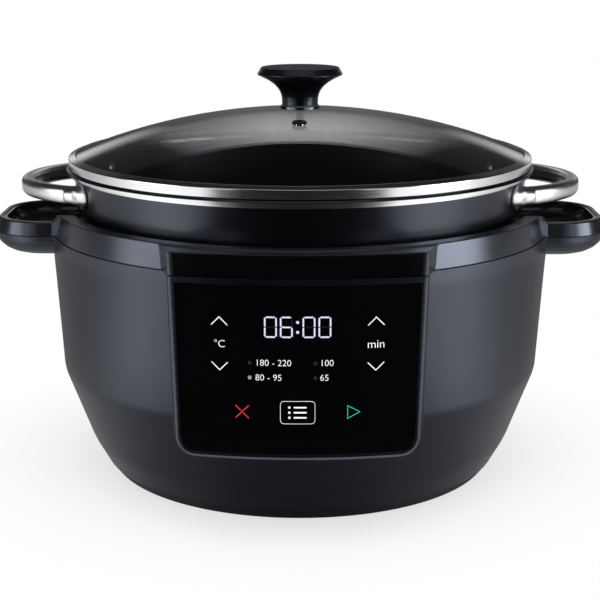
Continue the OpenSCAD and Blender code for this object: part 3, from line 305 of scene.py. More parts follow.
def new_group(kind, name, inputs, outputs):
    """An empty node group with labelled sockets of some kinds, and its two end nodes."""
    tree = bpy.data.node_groups.new(name, kind + "NodeTree")
    for way, sockets in (("INPUT", inputs), ("OUTPUT", outputs)):
        for label, socket in sockets.items():
            tree.interface.new_socket(label, in_out=way, socket_type="NodeSocket" + socket)
    return tree, tree.nodes.new("NodeGroupInput"), tree.nodes.new("NodeGroupOutput")


def shader_group(name, inputs, outputs):
    """An empty shader group with named values in and out, and its two end nodes."""
    return new_group("Shader", name, dict.fromkeys(inputs, "Float"), dict.fromkeys(outputs, "Float"))


def object_place(tree):
    """The place on the piece, in metres."""
    return tree.nodes.new("ShaderNodeTexCoord").outputs["Object"]


def object_normal(tree):
    """The way that the piece's surface faces."""
    return tree.nodes.new("ShaderNodeTexCoord").outputs["Normal"]


def moulded_grain(name):
    """Fine mould texture, and slow changes of tone."""
    tree, source, result = shader_group(name, ["Scale"], ["Height", "Tone"])
    place = object_place(tree)
    fine = add_node(
        tree, "ShaderNodeTexNoise",
        {"Vector": place, "Scale": source.outputs["Scale"], "Detail": 2.0, "Roughness": 0.55},
    )
    broad = add_node(tree, "ShaderNodeTexNoise", {"Vector": place, "Scale": 17.0, "Detail": 3.0})
    tree.links.new(fine.outputs["Fac"], result.inputs["Height"])
    tree.links.new(spread(tree, broad.outputs["Fac"], 0.35, 0.65, 0.0, 1.0), result.inputs["Tone"])
    return tree


def handling_marks(name):
    """Faint smears where hands touch a polished face."""
    tree, source, result = shader_group(name, ["Scale", "Cover"], ["Mask"])
    place, scale = object_place(tree), source.outputs["Scale"]
    smear = add_node(
        tree, "ShaderNodeTexNoise", {"Vector": place, "Scale": scale, "Detail": 5.0, "Distortion": 0.8}
    )
    start = maths(tree, "SUBTRACT", 1.0, source.outputs["Cover"])
    over = maths(tree, "SUBTRACT", smear.outputs["Fac"], start)
    shown = add_node(tree, "ShaderNodeMath", {0: over, 1: 5.0}, operation="MULTIPLY", use_clamp=True)
    tree.links.new(shown.outputs[0], result.inputs["Mask"])
    return tree


def turned_lines(name):
    """Fine lines round the pot's axis, as a lathe or a polishing belt leaves them."""
    tree, source, result = shader_group(name, ["Lines"], ["Height", "Tone"])
    spot = object_place(tree)
    x, y, z = split(tree, spot)
    along = maths(tree, "ADD", vectors(tree, "LENGTH", vectors(tree, "MULTIPLY", spot, LEVEL)), z)
    streaks = 6.0
    turn = maths(tree, "MULTIPLY", maths(tree, "ARCTAN2", y, x), streaks)
    across = maths(tree, "MULTIPLY", along, source.outputs["Lines"])
    place = add_node(tree, "ShaderNodeCombineXYZ", {"X": across, "Y": turn}).outputs[0]
    lines = add_node(tree, "ShaderNodeTexNoise", {"Vector": place, "Scale": 1.0, "Detail": 2.0})
    tree.links.new(lines.outputs["Fac"], result.inputs["Height"])
    tree.links.new(spread(tree, lines.outputs["Fac"], 0.3, 0.7, 0.0, 1.0), result.inputs["Tone"])
    return tree


def use_group(tree, build, **values):
    """A shader group placed in a material with its own values. The first use builds it."""
    name = build.__name__.replace("_", " ").capitalize()
    made = tree.nodes.new("ShaderNodeGroup")
    made.node_tree = bpy.data.node_groups.get(name) or build(name)
    for key, value in values.items():
        made.inputs[key.capitalize()].default_value = value
    return made


def new_material(name, **values):
    """A material with its main shader's plain values set."""
    made = bpy.data.materials.new(name)
    made.use_nodes = True
    skin = made.node_tree.nodes["Principled BSDF"]
    for key, value in values.items():
        skin.inputs[key.replace("_", " ")].default_value = value
    return made, made.node_tree, skin


def feed(tree, skin, **sources):
    """Links what makes the main shader's values."""
    for key, source in sources.items():
        tree.links.new(source, skin.inputs[key.replace("_", " ")])


def vary(tree, skin, tone, tints, roughs):
    """Lets the main shader's colour and roughness follow a tone."""
    feed(
        tree, skin,
        Base_Color=blend_colours(tree, tone, *tints),
        Roughness=spread(tree, tone, 0.0, 1.0, *roughs),
    )


def rounded_edges(tree, radius, samples=6):
    """The fine rounding that a mould or a polish leaves on edges."""
    return add_node(tree, "ShaderNodeBevel", {"Radius": radius}, samples=samples).outputs[0]


def set_bump(tree, skin, height, strength, depth, normal):
    """Surface relief on top of a normal."""
    relief = add_node(
        tree, "ShaderNodeBump",
        {"Height": height, "Strength": strength, "Distance": depth, "Normal": normal},
    )
    feed(tree, skin, Normal=relief.outputs[0])


def moulded_plastic(name, tint, rough, grain=1400.0, depth=0.00006, edge=0.0006, shine=0.5):
    """Satin moulded plastic with a fine grain and rounded edges."""
    sheen = (*settings().finish.sheen, 1)
    made, tree, skin = new_material(name, Specular_IOR_Level=shine, Specular_Tint=sheen)
    texture = use_group(tree, moulded_grain, scale=grain)
    tints = shade(tint, 0.93), shade(tint, 1.07)
    vary(tree, skin, texture.outputs["Tone"], tints, (rough - 0.03, rough + 0.03))
    set_bump(tree, skin, texture.outputs["Height"], 0.35, depth, rounded_edges(tree, edge))
    return made


def polished_plastic(name, tint, rough, shine, edge=0.0004):
    """Polished plastic with faint handling marks."""
    made, tree, skin = new_material(name, Specular_IOR_Level=shine)
    mask = use_group(tree, handling_marks, scale=28.0, cover=0.35).outputs["Mask"]
    light = [part * 1.25 + 0.0004 for part in tint]
    vary(tree, skin, mask, (tint, light), (rough, rough + 0.06))
    if edge:
        feed(tree, skin, Normal=rounded_edges(tree, edge))
    return made


def turned_steel(name, tint, rough, lines=2500.0, depth=0.00002, edge=0.0003, metal=1.0):
    """Metal with fine lines round the pot's axis, dull where it is less than fully metallic."""
    made, tree, skin = new_material(name, Metallic=metal)
    texture = use_group(tree, turned_lines, lines=lines)
    tints = shade(tint, 0.9), tint
    vary(tree, skin, texture.outputs["Tone"], tints, (rough - 0.03, rough + 0.04))
    set_bump(tree, skin, texture.outputs["Height"], 0.12, depth, rounded_edges(tree, edge))
    return made


def handle_steel(name, tint, rough, edge=0.0006):
    """Polished bar steel with faint handling marks."""
    made, tree, skin = new_material(name, Metallic=1.0)
    mask = use_group(tree, handling_marks, scale=60.0, cover=0.45).outputs["Mask"]
    vary(tree, skin, mask, (tint, shade(tint, 0.9)), (rough, rough + 0.08))
    feed(tree, skin, Normal=rounded_edges(tree, edge, samples=8))
    return made


def pot_finish(name, coating, steel):
    """Dark coating with fine speckle, and bare bright metal round the pot's lip."""
    made, tree, skin = new_material(name, Specular_Tint=(*settings().finish.sheen, 1))
    sizes = settings().pot
    spot, normal = object_place(tree), object_normal(tree)
    from_axis = vectors(tree, "MULTIPLY", spot, LEVEL)
    # Distance from the axis times the cosine of the way a wall faces
    facing_out = 0.05
    outside = maths(tree, "GREATER_THAN", vectors(tree, "DOT_PRODUCT", from_axis, normal), facing_out)
    over = maths(tree, "GREATER_THAN", vectors(tree, "LENGTH", from_axis), sizes.lip_inside)
    z = split(tree, spot)["Z"]
    above = maths(tree, "GREATER_THAN", z, POT_HIGH.z - sizes.lip_low)
    below = maths(tree, "LESS_THAN", z, POT_HIGH.z - sizes.lip_top)
    band = maths(tree, "MULTIPLY", above, below)
    lip = maths(tree, "MULTIPLY", band, maths(tree, "MAXIMUM", outside, over))
    speckle = use_group(tree, moulded_grain, scale=2200.0).outputs["Height"]
    coat = blend_colours(tree, speckle, coating, shade(coating, 1.5))
    feed(
        tree, skin,
        Base_Color=blend_colours(tree, lip, coat, steel),
        Metallic=lip,
        Roughness=spread(tree, lip, 0.0, 1.0, 0.24, 0.16),
        Specular_IOR_Level=spread(tree, outside, 0.0, 1.0, 0.3, 1.0),
    )
    # The lip is shaded as an upright band
    upright = vectors(tree, "NORMALIZE", from_axis)
    faced = add_node(tree, "ShaderNodeMix", {0: lip, 4: normal, 5: upright}, data_type="VECTOR")
    set_bump(tree, skin, speckle, 0.2, 0.00004, faced.outputs[1])
    return made


def clear_glass(name):
    """Clear tempered glass with the faintest smears."""
    made, tree, skin = new_material(
        name, Base_Color=(0.80, 0.81, 0.81, 1), Transmission_Weight=1.0, IOR=1.28
    )
    mask = use_group(tree, handling_marks, scale=16.0, cover=0.3).outputs["Mask"]
    feed(tree, skin, Roughness=spread(tree, mask, 0.0, 1.0, 0.0, 0.03))
    return made


def lit_mark(name, tint, glow):
    """A printed or lit mark with a slightly uneven ink."""
    made, tree, skin = new_material(name, Roughness=0.45, Emission_Strength=glow)
    texture = use_group(tree, moulded_grain, scale=3000.0)
    ink = blend_colours(tree, texture.outputs["Height"], shade(tint, 0.94), tint)
    feed(tree, skin, Base_Color=ink, Emission_Color=ink)
    return made


def paint(material, *names):
    """Gives CAD nodes a finish."""
    for name in names:
        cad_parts[name].material_slots[0].material = material


def add_object(name, data):
    """A new object in the scene."""
    made = bpy.data.objects.new(name, data)
    bpy.context.scene.collection.objects.link(made)
    return made


def key_row():
    """Height of the lower keys."""
    return LENS_HIGH.z - settings().panel.keys_down


def divided(path, step, closed=False):
    """The same path with no span longer than the step, so that it can follow a curved face."""
    points = [Vector(point) for point in path]
    ends = points[1:] + points[:1] if closed else points[1:]
    made = []
    for here, there in zip(points, ends):
        count = max(1, math.ceil((there - here).length / step))
        made += [here.lerp(there, i / count) for i in range(count)]
    return made if closed else made + points[-1:]


def frame_path(inset):
    """Points from the panel frame's top left, round its lower corners and up to its top right."""
    sizes = settings().panel
    top_z = LENS_HIGH.z + sizes.frame_width
    low_z = LENS_LOW.z - sizes.frame_width
    top_half = LENS_HIGH.x + sizes.frame_width - inset
    low_half = sizes.low_half - inset
    lean = math.degrees(math.atan2(top_half - low_half, top_z - low_z))
    radius = sizes.corner - inset
    reach = radius * math.tan(math.radians((90 + lean) / 2))
    centre = (low_half - reach, low_z + inset + radius)
    right = arc(centre, radius, -90, -lean, 10) + [(top_half, top_z)]
    return [(-x, z) for x, z in right[::-1]] + right


def strip_paths(inset):
    """Points up the left and the right side of the strip above the lens."""
    edge = settings().panel.frame_width - inset
    low, high = STRIP_LOW.z + edge / 4, STRIP_HIGH.z
    right = [(LENS_HIGH.x + edge, low), (STRIP_HIGH.x + edge, high)]
    return [(-x, z) for x, z in right], right


def wrap_on_panel(mesh, face_radius):
    """Lays a flat mesh, drawn in X and Z with -Y outwards, on the panel's curved face in the CAD box."""
    # The face curves round an upright axis
    axis_y = LENS_LOW.y + settings().panel.face_radius
    for vertex in mesh.vertices:
        x, out, z = vertex.co.x, -vertex.co.y, vertex.co.z
        reach = face_radius + out
        vertex.co = (x, max(axis_y - math.sqrt(reach * reach - x * x), CAD_FRONT), z)
    mesh.update()


def add_to_panel(name, mesh, face_radius):
    """A flat mesh as a piece of the cooker's panel."""
    wrap_on_panel(mesh, face_radius)
    piece = add_object(name, mesh)
    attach(piece, "base")


def mesh_from(form, name, material):
    """A mesh made from a bmesh, with its normals outwards."""
    bmesh.ops.remove_doubles(form, verts=form.verts, dist=1e-7)
    bmesh.ops.recalc_face_normals(form, faces=form.faces)
    mesh = bpy.data.meshes.new(name)
    form.to_mesh(mesh)
    form.free()
    mesh.materials.append(material)
    return mesh


def add_prism(form, outline):
    """A closed flat piece with that outline in X and Z, from just inside the face to just outside."""
    depth = settings().panel.print_depth
    rings = [[form.verts.new((x, out, z)) for x, z in outline] for out in (depth, -depth)]
    form.faces.new(rings[0])
    form.faces.new(rings[1][::-1])
    count = len(outline)
    for i in range(count):
        j = (i + 1) % count
        form.faces.new((rings[0][i], rings[0][j], rings[1][j], rings[1][i]))


def add_stroke(form, path, width, closed=False):
    """A drawn line of even width, mitred at its corners."""
    depth = settings().panel.print_depth
    points = divided(path, settings().panel.path_step, closed)
    count = len(points)
    sides = [[], []]
    for i, point in enumerate(points):
        before = points[i - 1] if i or closed else None
        after = points[(i + 1) % count] if i + 1 < count or closed else None
        spans = ((before, point), (point, after))
        ways = [(b - a).normalized() for a, b in spans if a is not None and b is not None]
        normals = [Vector((-way.y, way.x)) for way in ways]
        mitre = sum(normals, Vector((0, 0))).normalized()
        reach = width / 2 / mitre.dot(normals[0])
        sides[0].append(point + mitre * reach)
        sides[1].append(point - mitre * reach)
    rows = [
        [form.verts.new((p.x, out, p.y)) for p in side] for out in (depth, -depth) for side in sides
    ]
    loops = (rows[0], rows[1], rows[3], rows[2])
    for i in range(count if closed else count - 1):
        j = (i + 1) % count
        for k in range(4):
            a, b = loops[k], loops[(k + 1) % 4]
            form.faces.new((a[i], a[j], b[j], b[i]))
    if not closed:
        for i in (0, count - 1):
            form.faces.new([loop[i] for loop in loops])


def arc(centre, radius, start, end, steps):
    """Points of an arc, angles in degrees."""
    turns = [math.radians(start + (end - start) * i / steps) for i in range(steps + 1)]
    return [(centre[0] + radius * math.cos(turn), centre[1] + radius * math.sin(turn)) for turn in turns]


def rounded_box(centre, half_w, half_h, radius, steps=6):
    """Points round a box with round corners."""
    points = []
    for i, (sx, sz) in enumerate(((1, 1), (-1, 1), (-1, -1), (1, -1))):
        middle = (centre[0] + sx * (half_w - radius), centre[1] + sz * (half_h - radius))
        points += arc(middle, radius, 90 * i, 90 * i + 90, steps)
    return points


def grow_tree(name, **inputs):
    """An empty Geometry Nodes tree that takes geometry, a material and more, and its end nodes."""
    shape = {"Geometry": "Geometry"}
    return new_group("Geometry", name, {**shape, **inputs, "Material": "Material"}, shape)


def finish_tree(tree, source, result, geometry):
    """Ends a tree with plain, painted geometry."""
    solid = add_node(tree, "GeometryNodeRealizeInstances", {"Geometry": geometry})
    painted = add_node(
        tree, "GeometryNodeSetMaterial",
        {"Geometry": solid.outputs[0], "Material": source.outputs["Material"]},
    )
    tree.links.new(painted.outputs[0], result.inputs["Geometry"])


def plain_mesh(carrier):
    """The plain mesh that a carrier shows."""
    graph = bpy.context.evaluated_depsgraph_get()
    return bpy.data.meshes.new_from_object(carrier.evaluated_get(graph))


def grown_mesh(tree, carrier_mesh, values):
    """The plain mesh that a tree grows from a carrier."""
    carrier = add_object("carrier", carrier_mesh)
    growth = carrier.modifiers.new("Growth", "NODES")
    growth.node_group = tree
    for item in tree.interface.items_tree:
        if item.in_out == "INPUT" and item.name in values:
            growth[item.identifier] = values[item.name]
    mesh = plain_mesh(carrier)
    carrier.modifiers.remove(growth)
    bpy.data.objects.remove(carrier)
    return mesh


def path_tree():
    """A bar of oval section along a flat path, with the oval's height facing out of the panel."""
    tree, source, result = grow_tree("Bar on a path", Width="Float", Height="Float")
    path = add_node(tree, "GeometryNodeMeshToCurve", {"Mesh": source.outputs["Geometry"]})
    faced = add_node(
        tree, "GeometryNodeSetCurveNormal", {"Curve": path.outputs[0], "Normal": (0, -1, 0)}, mode="FREE"
    )
    ring = add_node(tree, "GeometryNodeCurvePrimitiveCircle", {"Resolution": 20, "Radius": 0.5})
    size = add_node(
        tree, "ShaderNodeCombineXYZ",
        {"X": source.outputs["Height"], "Y": source.outputs["Width"], "Z": 1.0},
    )
    section = add_node(
        tree, "GeometryNodeTransform", {"Geometry": ring.outputs["Curve"], "Scale": size.outputs[0]}
    )
    bar = add_node(
        tree, "GeometryNodeCurveToMesh",
        {"Curve": faced.outputs[0], "Profile Curve": section.outputs[0], "Fill Caps": True},
    )
    smooth = add_node(tree, "GeometryNodeSetShadeSmooth", {"Geometry": bar.outputs[0]})
    finish_tree(tree, source, result, smooth.outputs[0])
    return tree


def places_tree():
    """Copies of one form at points, each turned about Y by the point's own turn."""
    tree, source, result = grow_tree("Form at points", Form="Object")
    form = add_node(
        tree, "GeometryNodeObjectInfo", {"Object": source.outputs["Form"], "As Instance": True}
    )
    turn = add_node(tree, "GeometryNodeInputNamedAttribute", {"Name": "turn"}, data_type="FLOAT")
    turned = add_node(tree, "ShaderNodeCombineXYZ", {"Y": turn.outputs["Attribute"]})
    copies = add_node(
        tree, "GeometryNodeInstanceOnPoints",
        {
            "Points": source.outputs["Geometry"],
            "Instance": form.outputs["Geometry"],
            "Rotation": turned.outputs[0],
        },
    )
    finish_tree(tree, source, result, copies.outputs[0])
    return tree


def copies_at(tree, form_mesh, places, material):
    """Plain mesh of a form repeated at (x, y, z, turn) places."""
    carrier = bpy.data.meshes.new("places")
    carrier.from_pydata([place[:3] for place in places], [], [])
    turns = carrier.attributes.new("turn", "FLOAT", "POINT")
    turns.data.foreach_set("value", [place[3] for place in places])
    form = add_object("form", form_mesh)
    mesh = grown_mesh(tree, carrier, {"Form": form, "Material": material})
    bpy.data.objects.remove(form)
    return mesh


class FinishHousing(bpy.types.Operator):
    """Paints the housing, collar, grips, cover, feet and mains inlet"""

    bl_idname = "multicooker.finish_housing"
    bl_label = "Finish housing"

    def execute(self, context):
        tints = settings().finish
        paint(moulded_plastic("Housing satin", tints.housing, 0.34, shine=0.95), "outer_housing")
        paint(moulded_plastic("Collar satin", tints.collar, 0.24, shine=0.95), "collar_ring")
        paint(polished_plastic("Dish gloss", tints.gloss, 0.12, 0.5), "grip_dish_left", "grip_dish_right")
        coarse = 0.0001
        paint(moulded_plastic("Cover grain", (0.014, 0.014, 0.0155), 0.55, 900.0, coarse), "base_cover")
        paint(moulded_plastic("Foot rubber", (0.010, 0.010, 0.010), 0.75, 700.0, coarse), "feet")
        paint(moulded_plastic("Inlet plastic", (0.010, 0.010, 0.011), 0.45), "inlet_shell")
        paint(handle_steel("Pin brass", (0.62, 0.50, 0.22), 0.25), "inlet_pins")
        return {"FINISHED"}


class FinishPot(bpy.types.Operator):
    """Paints the pot, its loop handles and their rivets"""

    bl_idname = "multicooker.finish_pot"
    bl_label = "Finish pot"

    def execute(self, context):
        tints = settings().finish
        paint(pot_finish("Pot coating", tints.coating, tints.steel), "cooking_pot")
        bars = handle_steel("Handle steel", tints.handle, 0.30, edge=0.003)
        paint(bars, "pot_handle_left", "pot_handle_right")
        paint(handle_steel("Rivet steel", tints.steel, 0.24), "pot_rivets")
        return {"FINISHED"}


class FinishLid(bpy.types.Operator):
    """Paints the glass, its steel band, the knob and the vent"""

    bl_idname = "multicooker.finish_lid"
    bl_label = "Finish lid"

    def execute(self, context):
        tints = settings().finish
        paint(clear_glass("Lid glass"), "lid_glass")
        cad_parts["lid_glass"].visible_shadow = False
        # The glass doesn't mirror the knob. Its screw stays visible through the glass
        for name in ("lid_knob", "knob_ring", "knob_screw"):
            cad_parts[name].visible_glossy = False
            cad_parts[name].visible_transmission = name == "knob_screw"
        paint(turned_steel("Band steel", tints.steel, 0.14), "lid_rim")
        paint(self.knob_plastic(tints.knob), "lid_knob")
        paint(turned_steel("Knob ring steel", (0.2, 0.2, 0.21), 0.22), "knob_ring")
        paint(handle_steel("Lid fittings", (0.04, 0.04, 0.042), 0.3), "knob_screw")
        silicone = moulded_plastic("Lid silicone", (0.004, 0.004, 0.0045), 0.6, shine=0.15)
        paint(silicone, "vent_eyelet", "knob_washer")
        return {"FINISHED"}

    def knob_plastic(self, tint):
        """Smooth plastic with almost no reflection on faces that look up, a painted shade that keeps the
        flat top dark.
        """
        made = moulded_plastic("Knob plastic", tint, 0.28, 1800.0, 0.00003)
        tree = made.node_tree
        up = split(tree, object_normal(tree))["Z"]
        # Faces that look up lose their reflection: painted shade on the knob's flat top
        bevel_up, top_up, glossy, shaded_top = 0.85, 0.98, 0.6, 0.01
        shine = spread(tree, up, bevel_up, top_up, glossy, shaded_top)
        feed(tree, tree.nodes["Principled BSDF"], Specular_IOR_Level=shine)
        return made


class FinishInside(bpy.types.Operator):
    """Paints the heater, sensor, liner, boards and leads inside the base"""

    bl_idname = "multicooker.finish_inside"
    bl_label = "Finish inside"

    def execute(self, context):
        plate = turned_steel("Plate aluminium", (0.56, 0.56, 0.57), 0.34, 900.0, 0.00006, metal=0.5)
        paint(plate, "heating_plate")
        liner = turned_steel("Liner sheet", (0.60, 0.60, 0.60), 0.36, 700.0, 0.00003, metal=0.6)
        paint(liner, "inner_liner")
        paint(handle_steel("Sensor steel", (0.70, 0.70, 0.71), 0.25), "sensor_plunger", "sensor_spring")
        paint(
            handle_steel("Plated steel", (0.55, 0.55, 0.56), 0.32),
            "heating_element", "heater_brackets", "heater_screws", "liner_screws", "control_screws",
            "board_screws", "thermal_cutout", "sensor_guide",
        )
        plastics = (
            ("Board mask", (0.012, 0.10, 0.035), 0.35, "power_board", "control_board"),
            ("Part plastic", (0.03, 0.03, 0.033), 0.45, "power_components", "touch_pads"),
            ("Display plastic", (0.5, 0.49, 0.45), 0.45, "display_module", "panel_ribbon"),
            ("Lead rubber", (0.22, 0.010, 0.006), 0.5, "inner_leads", "inlet_leads"),
        )
        for name, tint, rough, *nodes in plastics:
            paint(moulded_plastic(name, tint, rough), *nodes)
        return {"FINISHED"}


class PanelTrim(bpy.types.Operator):
    """Paints the lens and strip, and adds round them the bead, made lighter as a painted highlight, and
    the bevel and seam, made dark as painted shade
    """

    bl_idname = "multicooker.panel_trim"
    bl_label = "Panel trim"

    def execute(self, context):
        sizes = settings().panel
        tints = settings().finish
        paint(polished_plastic("Lens gloss", tints.lens, 0.05, 0.28, edge=0.0), "panel_lens")
        paint(polished_plastic("Strip gloss", tints.lens, 0.07, 0.28), "fascia_strip")
        tree = path_tree()
        # The bead's lighter colour is a painted highlight along its rounded edge
        bead = moulded_plastic("Bead painted highlight", tints.trim, 0.26)
        # The bevel and the seam take a dark colour as painted shade
        bevel = moulded_plastic("Bevel and seam painted shade", tints.knob, 0.30)
        face = sizes.face_radius + sizes.lens_sunk
        wide, height = sizes.bead_width, sizes.bead_height
        mesh = self.bar(tree, wide / 2, wide, 2 * height, bead)
        add_to_panel("panel_bead", mesh, face)
        mesh = self.bar(tree, wide + sizes.bevel_width / 2, sizes.bevel_width, height, bevel)
        add_to_panel("panel_bevel", mesh, face)
        add_to_panel("panel_seam", self.seam(bevel), face)
        return {"FINISHED"}

    def bar(self, tree, inset, width, height, material):
        """A flat bar along the frame and both sides of the strip."""
        points, spans = [], []
        for path in (frame_path(inset), *strip_paths(inset)):
            path = divided(path, settings().panel.path_step)
            spans += [(len(points) + i, len(points) + i + 1) for i in range(len(path) - 1)]
            points += [(x, 0, z) for x, z in path]
        carrier = bpy.data.meshes.new("path")
        carrier.from_pydata(points, spans, [])
        return grown_mesh(tree, carrier, {"Width": width, "Height": height, "Material": material})

    def seam(self, material):
        """A dark strip over the gap between the lens and the strip, painted shade where the gap lies in
        shadow.
        """
        half = LENS_HIGH.x - settings().panel.print_depth
        middle = (LENS_HIGH.z + STRIP_LOW.z) / 2
        form = bmesh.new()
        add_stroke(form, [(-half, middle), (half, middle)], STRIP_LOW.z - LENS_HIGH.z)
        return mesh_from(form, "panel_seam", material)


class PanelDisplay(bpy.types.Operator):
    """Adds the lit digits and the dark bars beside them"""

    bl_idname = "multicooker.panel_display"
    bl_label = "Panel display"

    def execute(self, context):
        sizes = settings().panel
        tree = places_tree()
        lit, dark = self.bar_places()
        digit_light = lit_mark("Digit light", settings().finish.digit, 0.22)
        looks = (
            ("display_digits", lit, digit_light),
            ("display_unlit", dark, lit_mark("Unlit bar", (0.010, 0.006, 0.004), 0.0)),
        )
        half, tip = sizes.bar_length / 2, sizes.bar_width / 2
        upper = [(-half, 0), (tip - half, tip), (half - tip, tip)]
        outline = upper + [(-x, -z) for x, z in upper]
        for name, places, material in looks:
            form = bmesh.new()
            add_prism(form, outline)
            mesh = copies_at(tree, mesh_from(form, "bar", material), places, material)
            add_to_panel(name, mesh, sizes.face_radius)
        form = bmesh.new()
        for side in (-1, 1):
            place = (0, self.middle() + side * sizes.digit_height / 4)
            dot = rounded_box(place, sizes.colon_half, sizes.colon_half, sizes.colon_corner, 3)
            add_prism(form, dot)
        mesh = mesh_from(form, "display_colon", digit_light)
        add_to_panel("display_colon", mesh, sizes.face_radius)
        return {"FINISHED"}

    def middle(self):
        """Height of the digits' middle."""
        return LENS_HIGH.z - settings().panel.digits_down

    def bar_places(self):
        """Places of the lit and of the dark bars of all digits."""
        sizes = settings().panel
        near = sizes.digit_near
        far = near + sizes.digit_pitch
        lit, dark = [], []
        for digit, x in zip(SHOWN_TIME.replace(":", ""), (-far, -near, near, far)):
            for bar, (across, up, upright) in BAR_PLACES.items():
                place = (
                    x + across * sizes.digit_width, 0,
                    self.middle() + up * sizes.digit_height / 2, upright * math.pi / 2,
                )
                (lit if bar in BARS_LIT[digit] else dark).append(place)
        return lit, dark


class PanelMarks(bpy.types.Operator):
    """Adds the arrows, keys, lamps and plain numbers on the lens"""

    bl_idname = "multicooker.panel_marks"
    bl_label = "Panel marks"

    def execute(self, context):
        tints = settings().finish
        white = lit_mark("Mark white", tints.mark, 0.3)
        self.add("panel_arrows", white, self.arrows)
        self.add("key_menu", white, self.menu_key)
        self.add("key_stop", lit_mark("Stop red", tints.stop, 0.12), self.stop_key)
        self.add("key_start", lit_mark("Start green", tints.start, 0.16), self.start_key)
        unlit = [lamp for lamp in MODE_LAMPS if lamp != LIT_LAMP]
        self.add("lamp_lit", lit_mark("Lamp on", (0.34, 0.34, 0.36), 0.1), self.lamps, [LIT_LAMP])
        self.add("lamps_off", lit_mark("Lamp off", (0.020, 0.020, 0.022), 0.0), self.lamps, unlit)
        self.numbers(white)
        return {"FINISHED"}

    def add(self, name, material, draw, *values):
        """One piece with the marks that draw makes."""
        form = bmesh.new()
        draw(form, *values)
        add_to_panel(name, mesh_from(form, name, material), settings().panel.face_radius)

    def arrows(self, form):
        """Up and down arrows on both sides."""
        sizes = settings().panel
        middle = LENS_HIGH.z - sizes.arrows_down
        for x in (-sizes.arrow_side, sizes.arrow_side):
            for way in (1, -1):
                tip = middle + way * (sizes.arrow_apart + sizes.arrow_half / 2)
                foot = tip - way * sizes.arrow_half
                path = [(x - sizes.arrow_half, foot), (x, tip), (x + sizes.arrow_half, foot)]
                add_stroke(form, path, sizes.stroke)

    def stop_key(self, form):
        """A cross."""
        sizes = settings().panel
        x, z, half = -sizes.key_side, key_row(), sizes.key_half
        add_stroke(form, [(x - half, z - half), (x + half, z + half)], sizes.stroke)
        # The second line stops short of the first on both sides
        inner = sizes.stroke * 0.75
        for way in (-1, 1):
            path = [(x + way * part, z - way * part) for part in (inner, half)]
            add_stroke(form, path, sizes.stroke)

    def start_key(self, form):
        """An open triangle."""
        sizes = settings().panel
        x, z, half = sizes.key_side, key_row(), sizes.key_half
        back, tip, thinner = x - half * 0.85, x + half * 0.95, 0.8
        path = [(back, z - half), (tip, z), (back, z + half)]
        add_stroke(form, path, sizes.stroke * thinner, closed=True)

    def menu_key(self, form):
        """A round-cornered box with three dots and three lines."""
        sizes = settings().panel
        z = key_row()
        # Keeps the corner arcs of a round end apart
        flat = 0.00001
        box = rounded_box((0, z), sizes.menu_half, sizes.menu_high, sizes.menu_corner)
        add_stroke(form, box, sizes.menu_stroke, closed=True)
        for row in (-1, 0, 1):
            for x, half, high in MENU_SHAPES:
                outline = rounded_box((x, z + row * sizes.menu_row), half, high, high - flat)
                add_prism(form, outline)

    def lamps(self, form, places):
        """Round lamps at places on the lens."""
        sizes = settings().panel
        sides = 24
        for x, down in places:
            outline = arc((x, LENS_HIGH.z - down), sizes.lamp_radius, 0, 360 - 360 / sides, sides - 1)
            add_prism(form, outline)

    def numbers(self, material):
        """Plain numbers and units in place of words."""
        sizes = settings().panel
        for index, (text, x, down, align, scale) in enumerate(PLAIN_NUMBERS):
            words = bpy.data.curves.new("number", "FONT")
            words.body = text
            words.size = sizes.number_size * scale
            words.align_x = align
            words.align_y = "CENTER"
            words.offset = -sizes.number_thin
            words.extrude = sizes.print_depth
            words.resolution_u = 4
            carrier = add_object("number", words)
            mesh = plain_mesh(carrier)
            bpy.data.objects.remove(carrier)
            upright = Matrix.Rotation(math.pi / 2, 4, "X")
            mesh.transform(Matrix.Translation((x, 0, LENS_HIGH.z - down)) @ upright)
            mesh.materials.clear()
            mesh.materials.append(material)
            add_to_panel(f"panel_number_{index + 1}", mesh, sizes.face_radius)


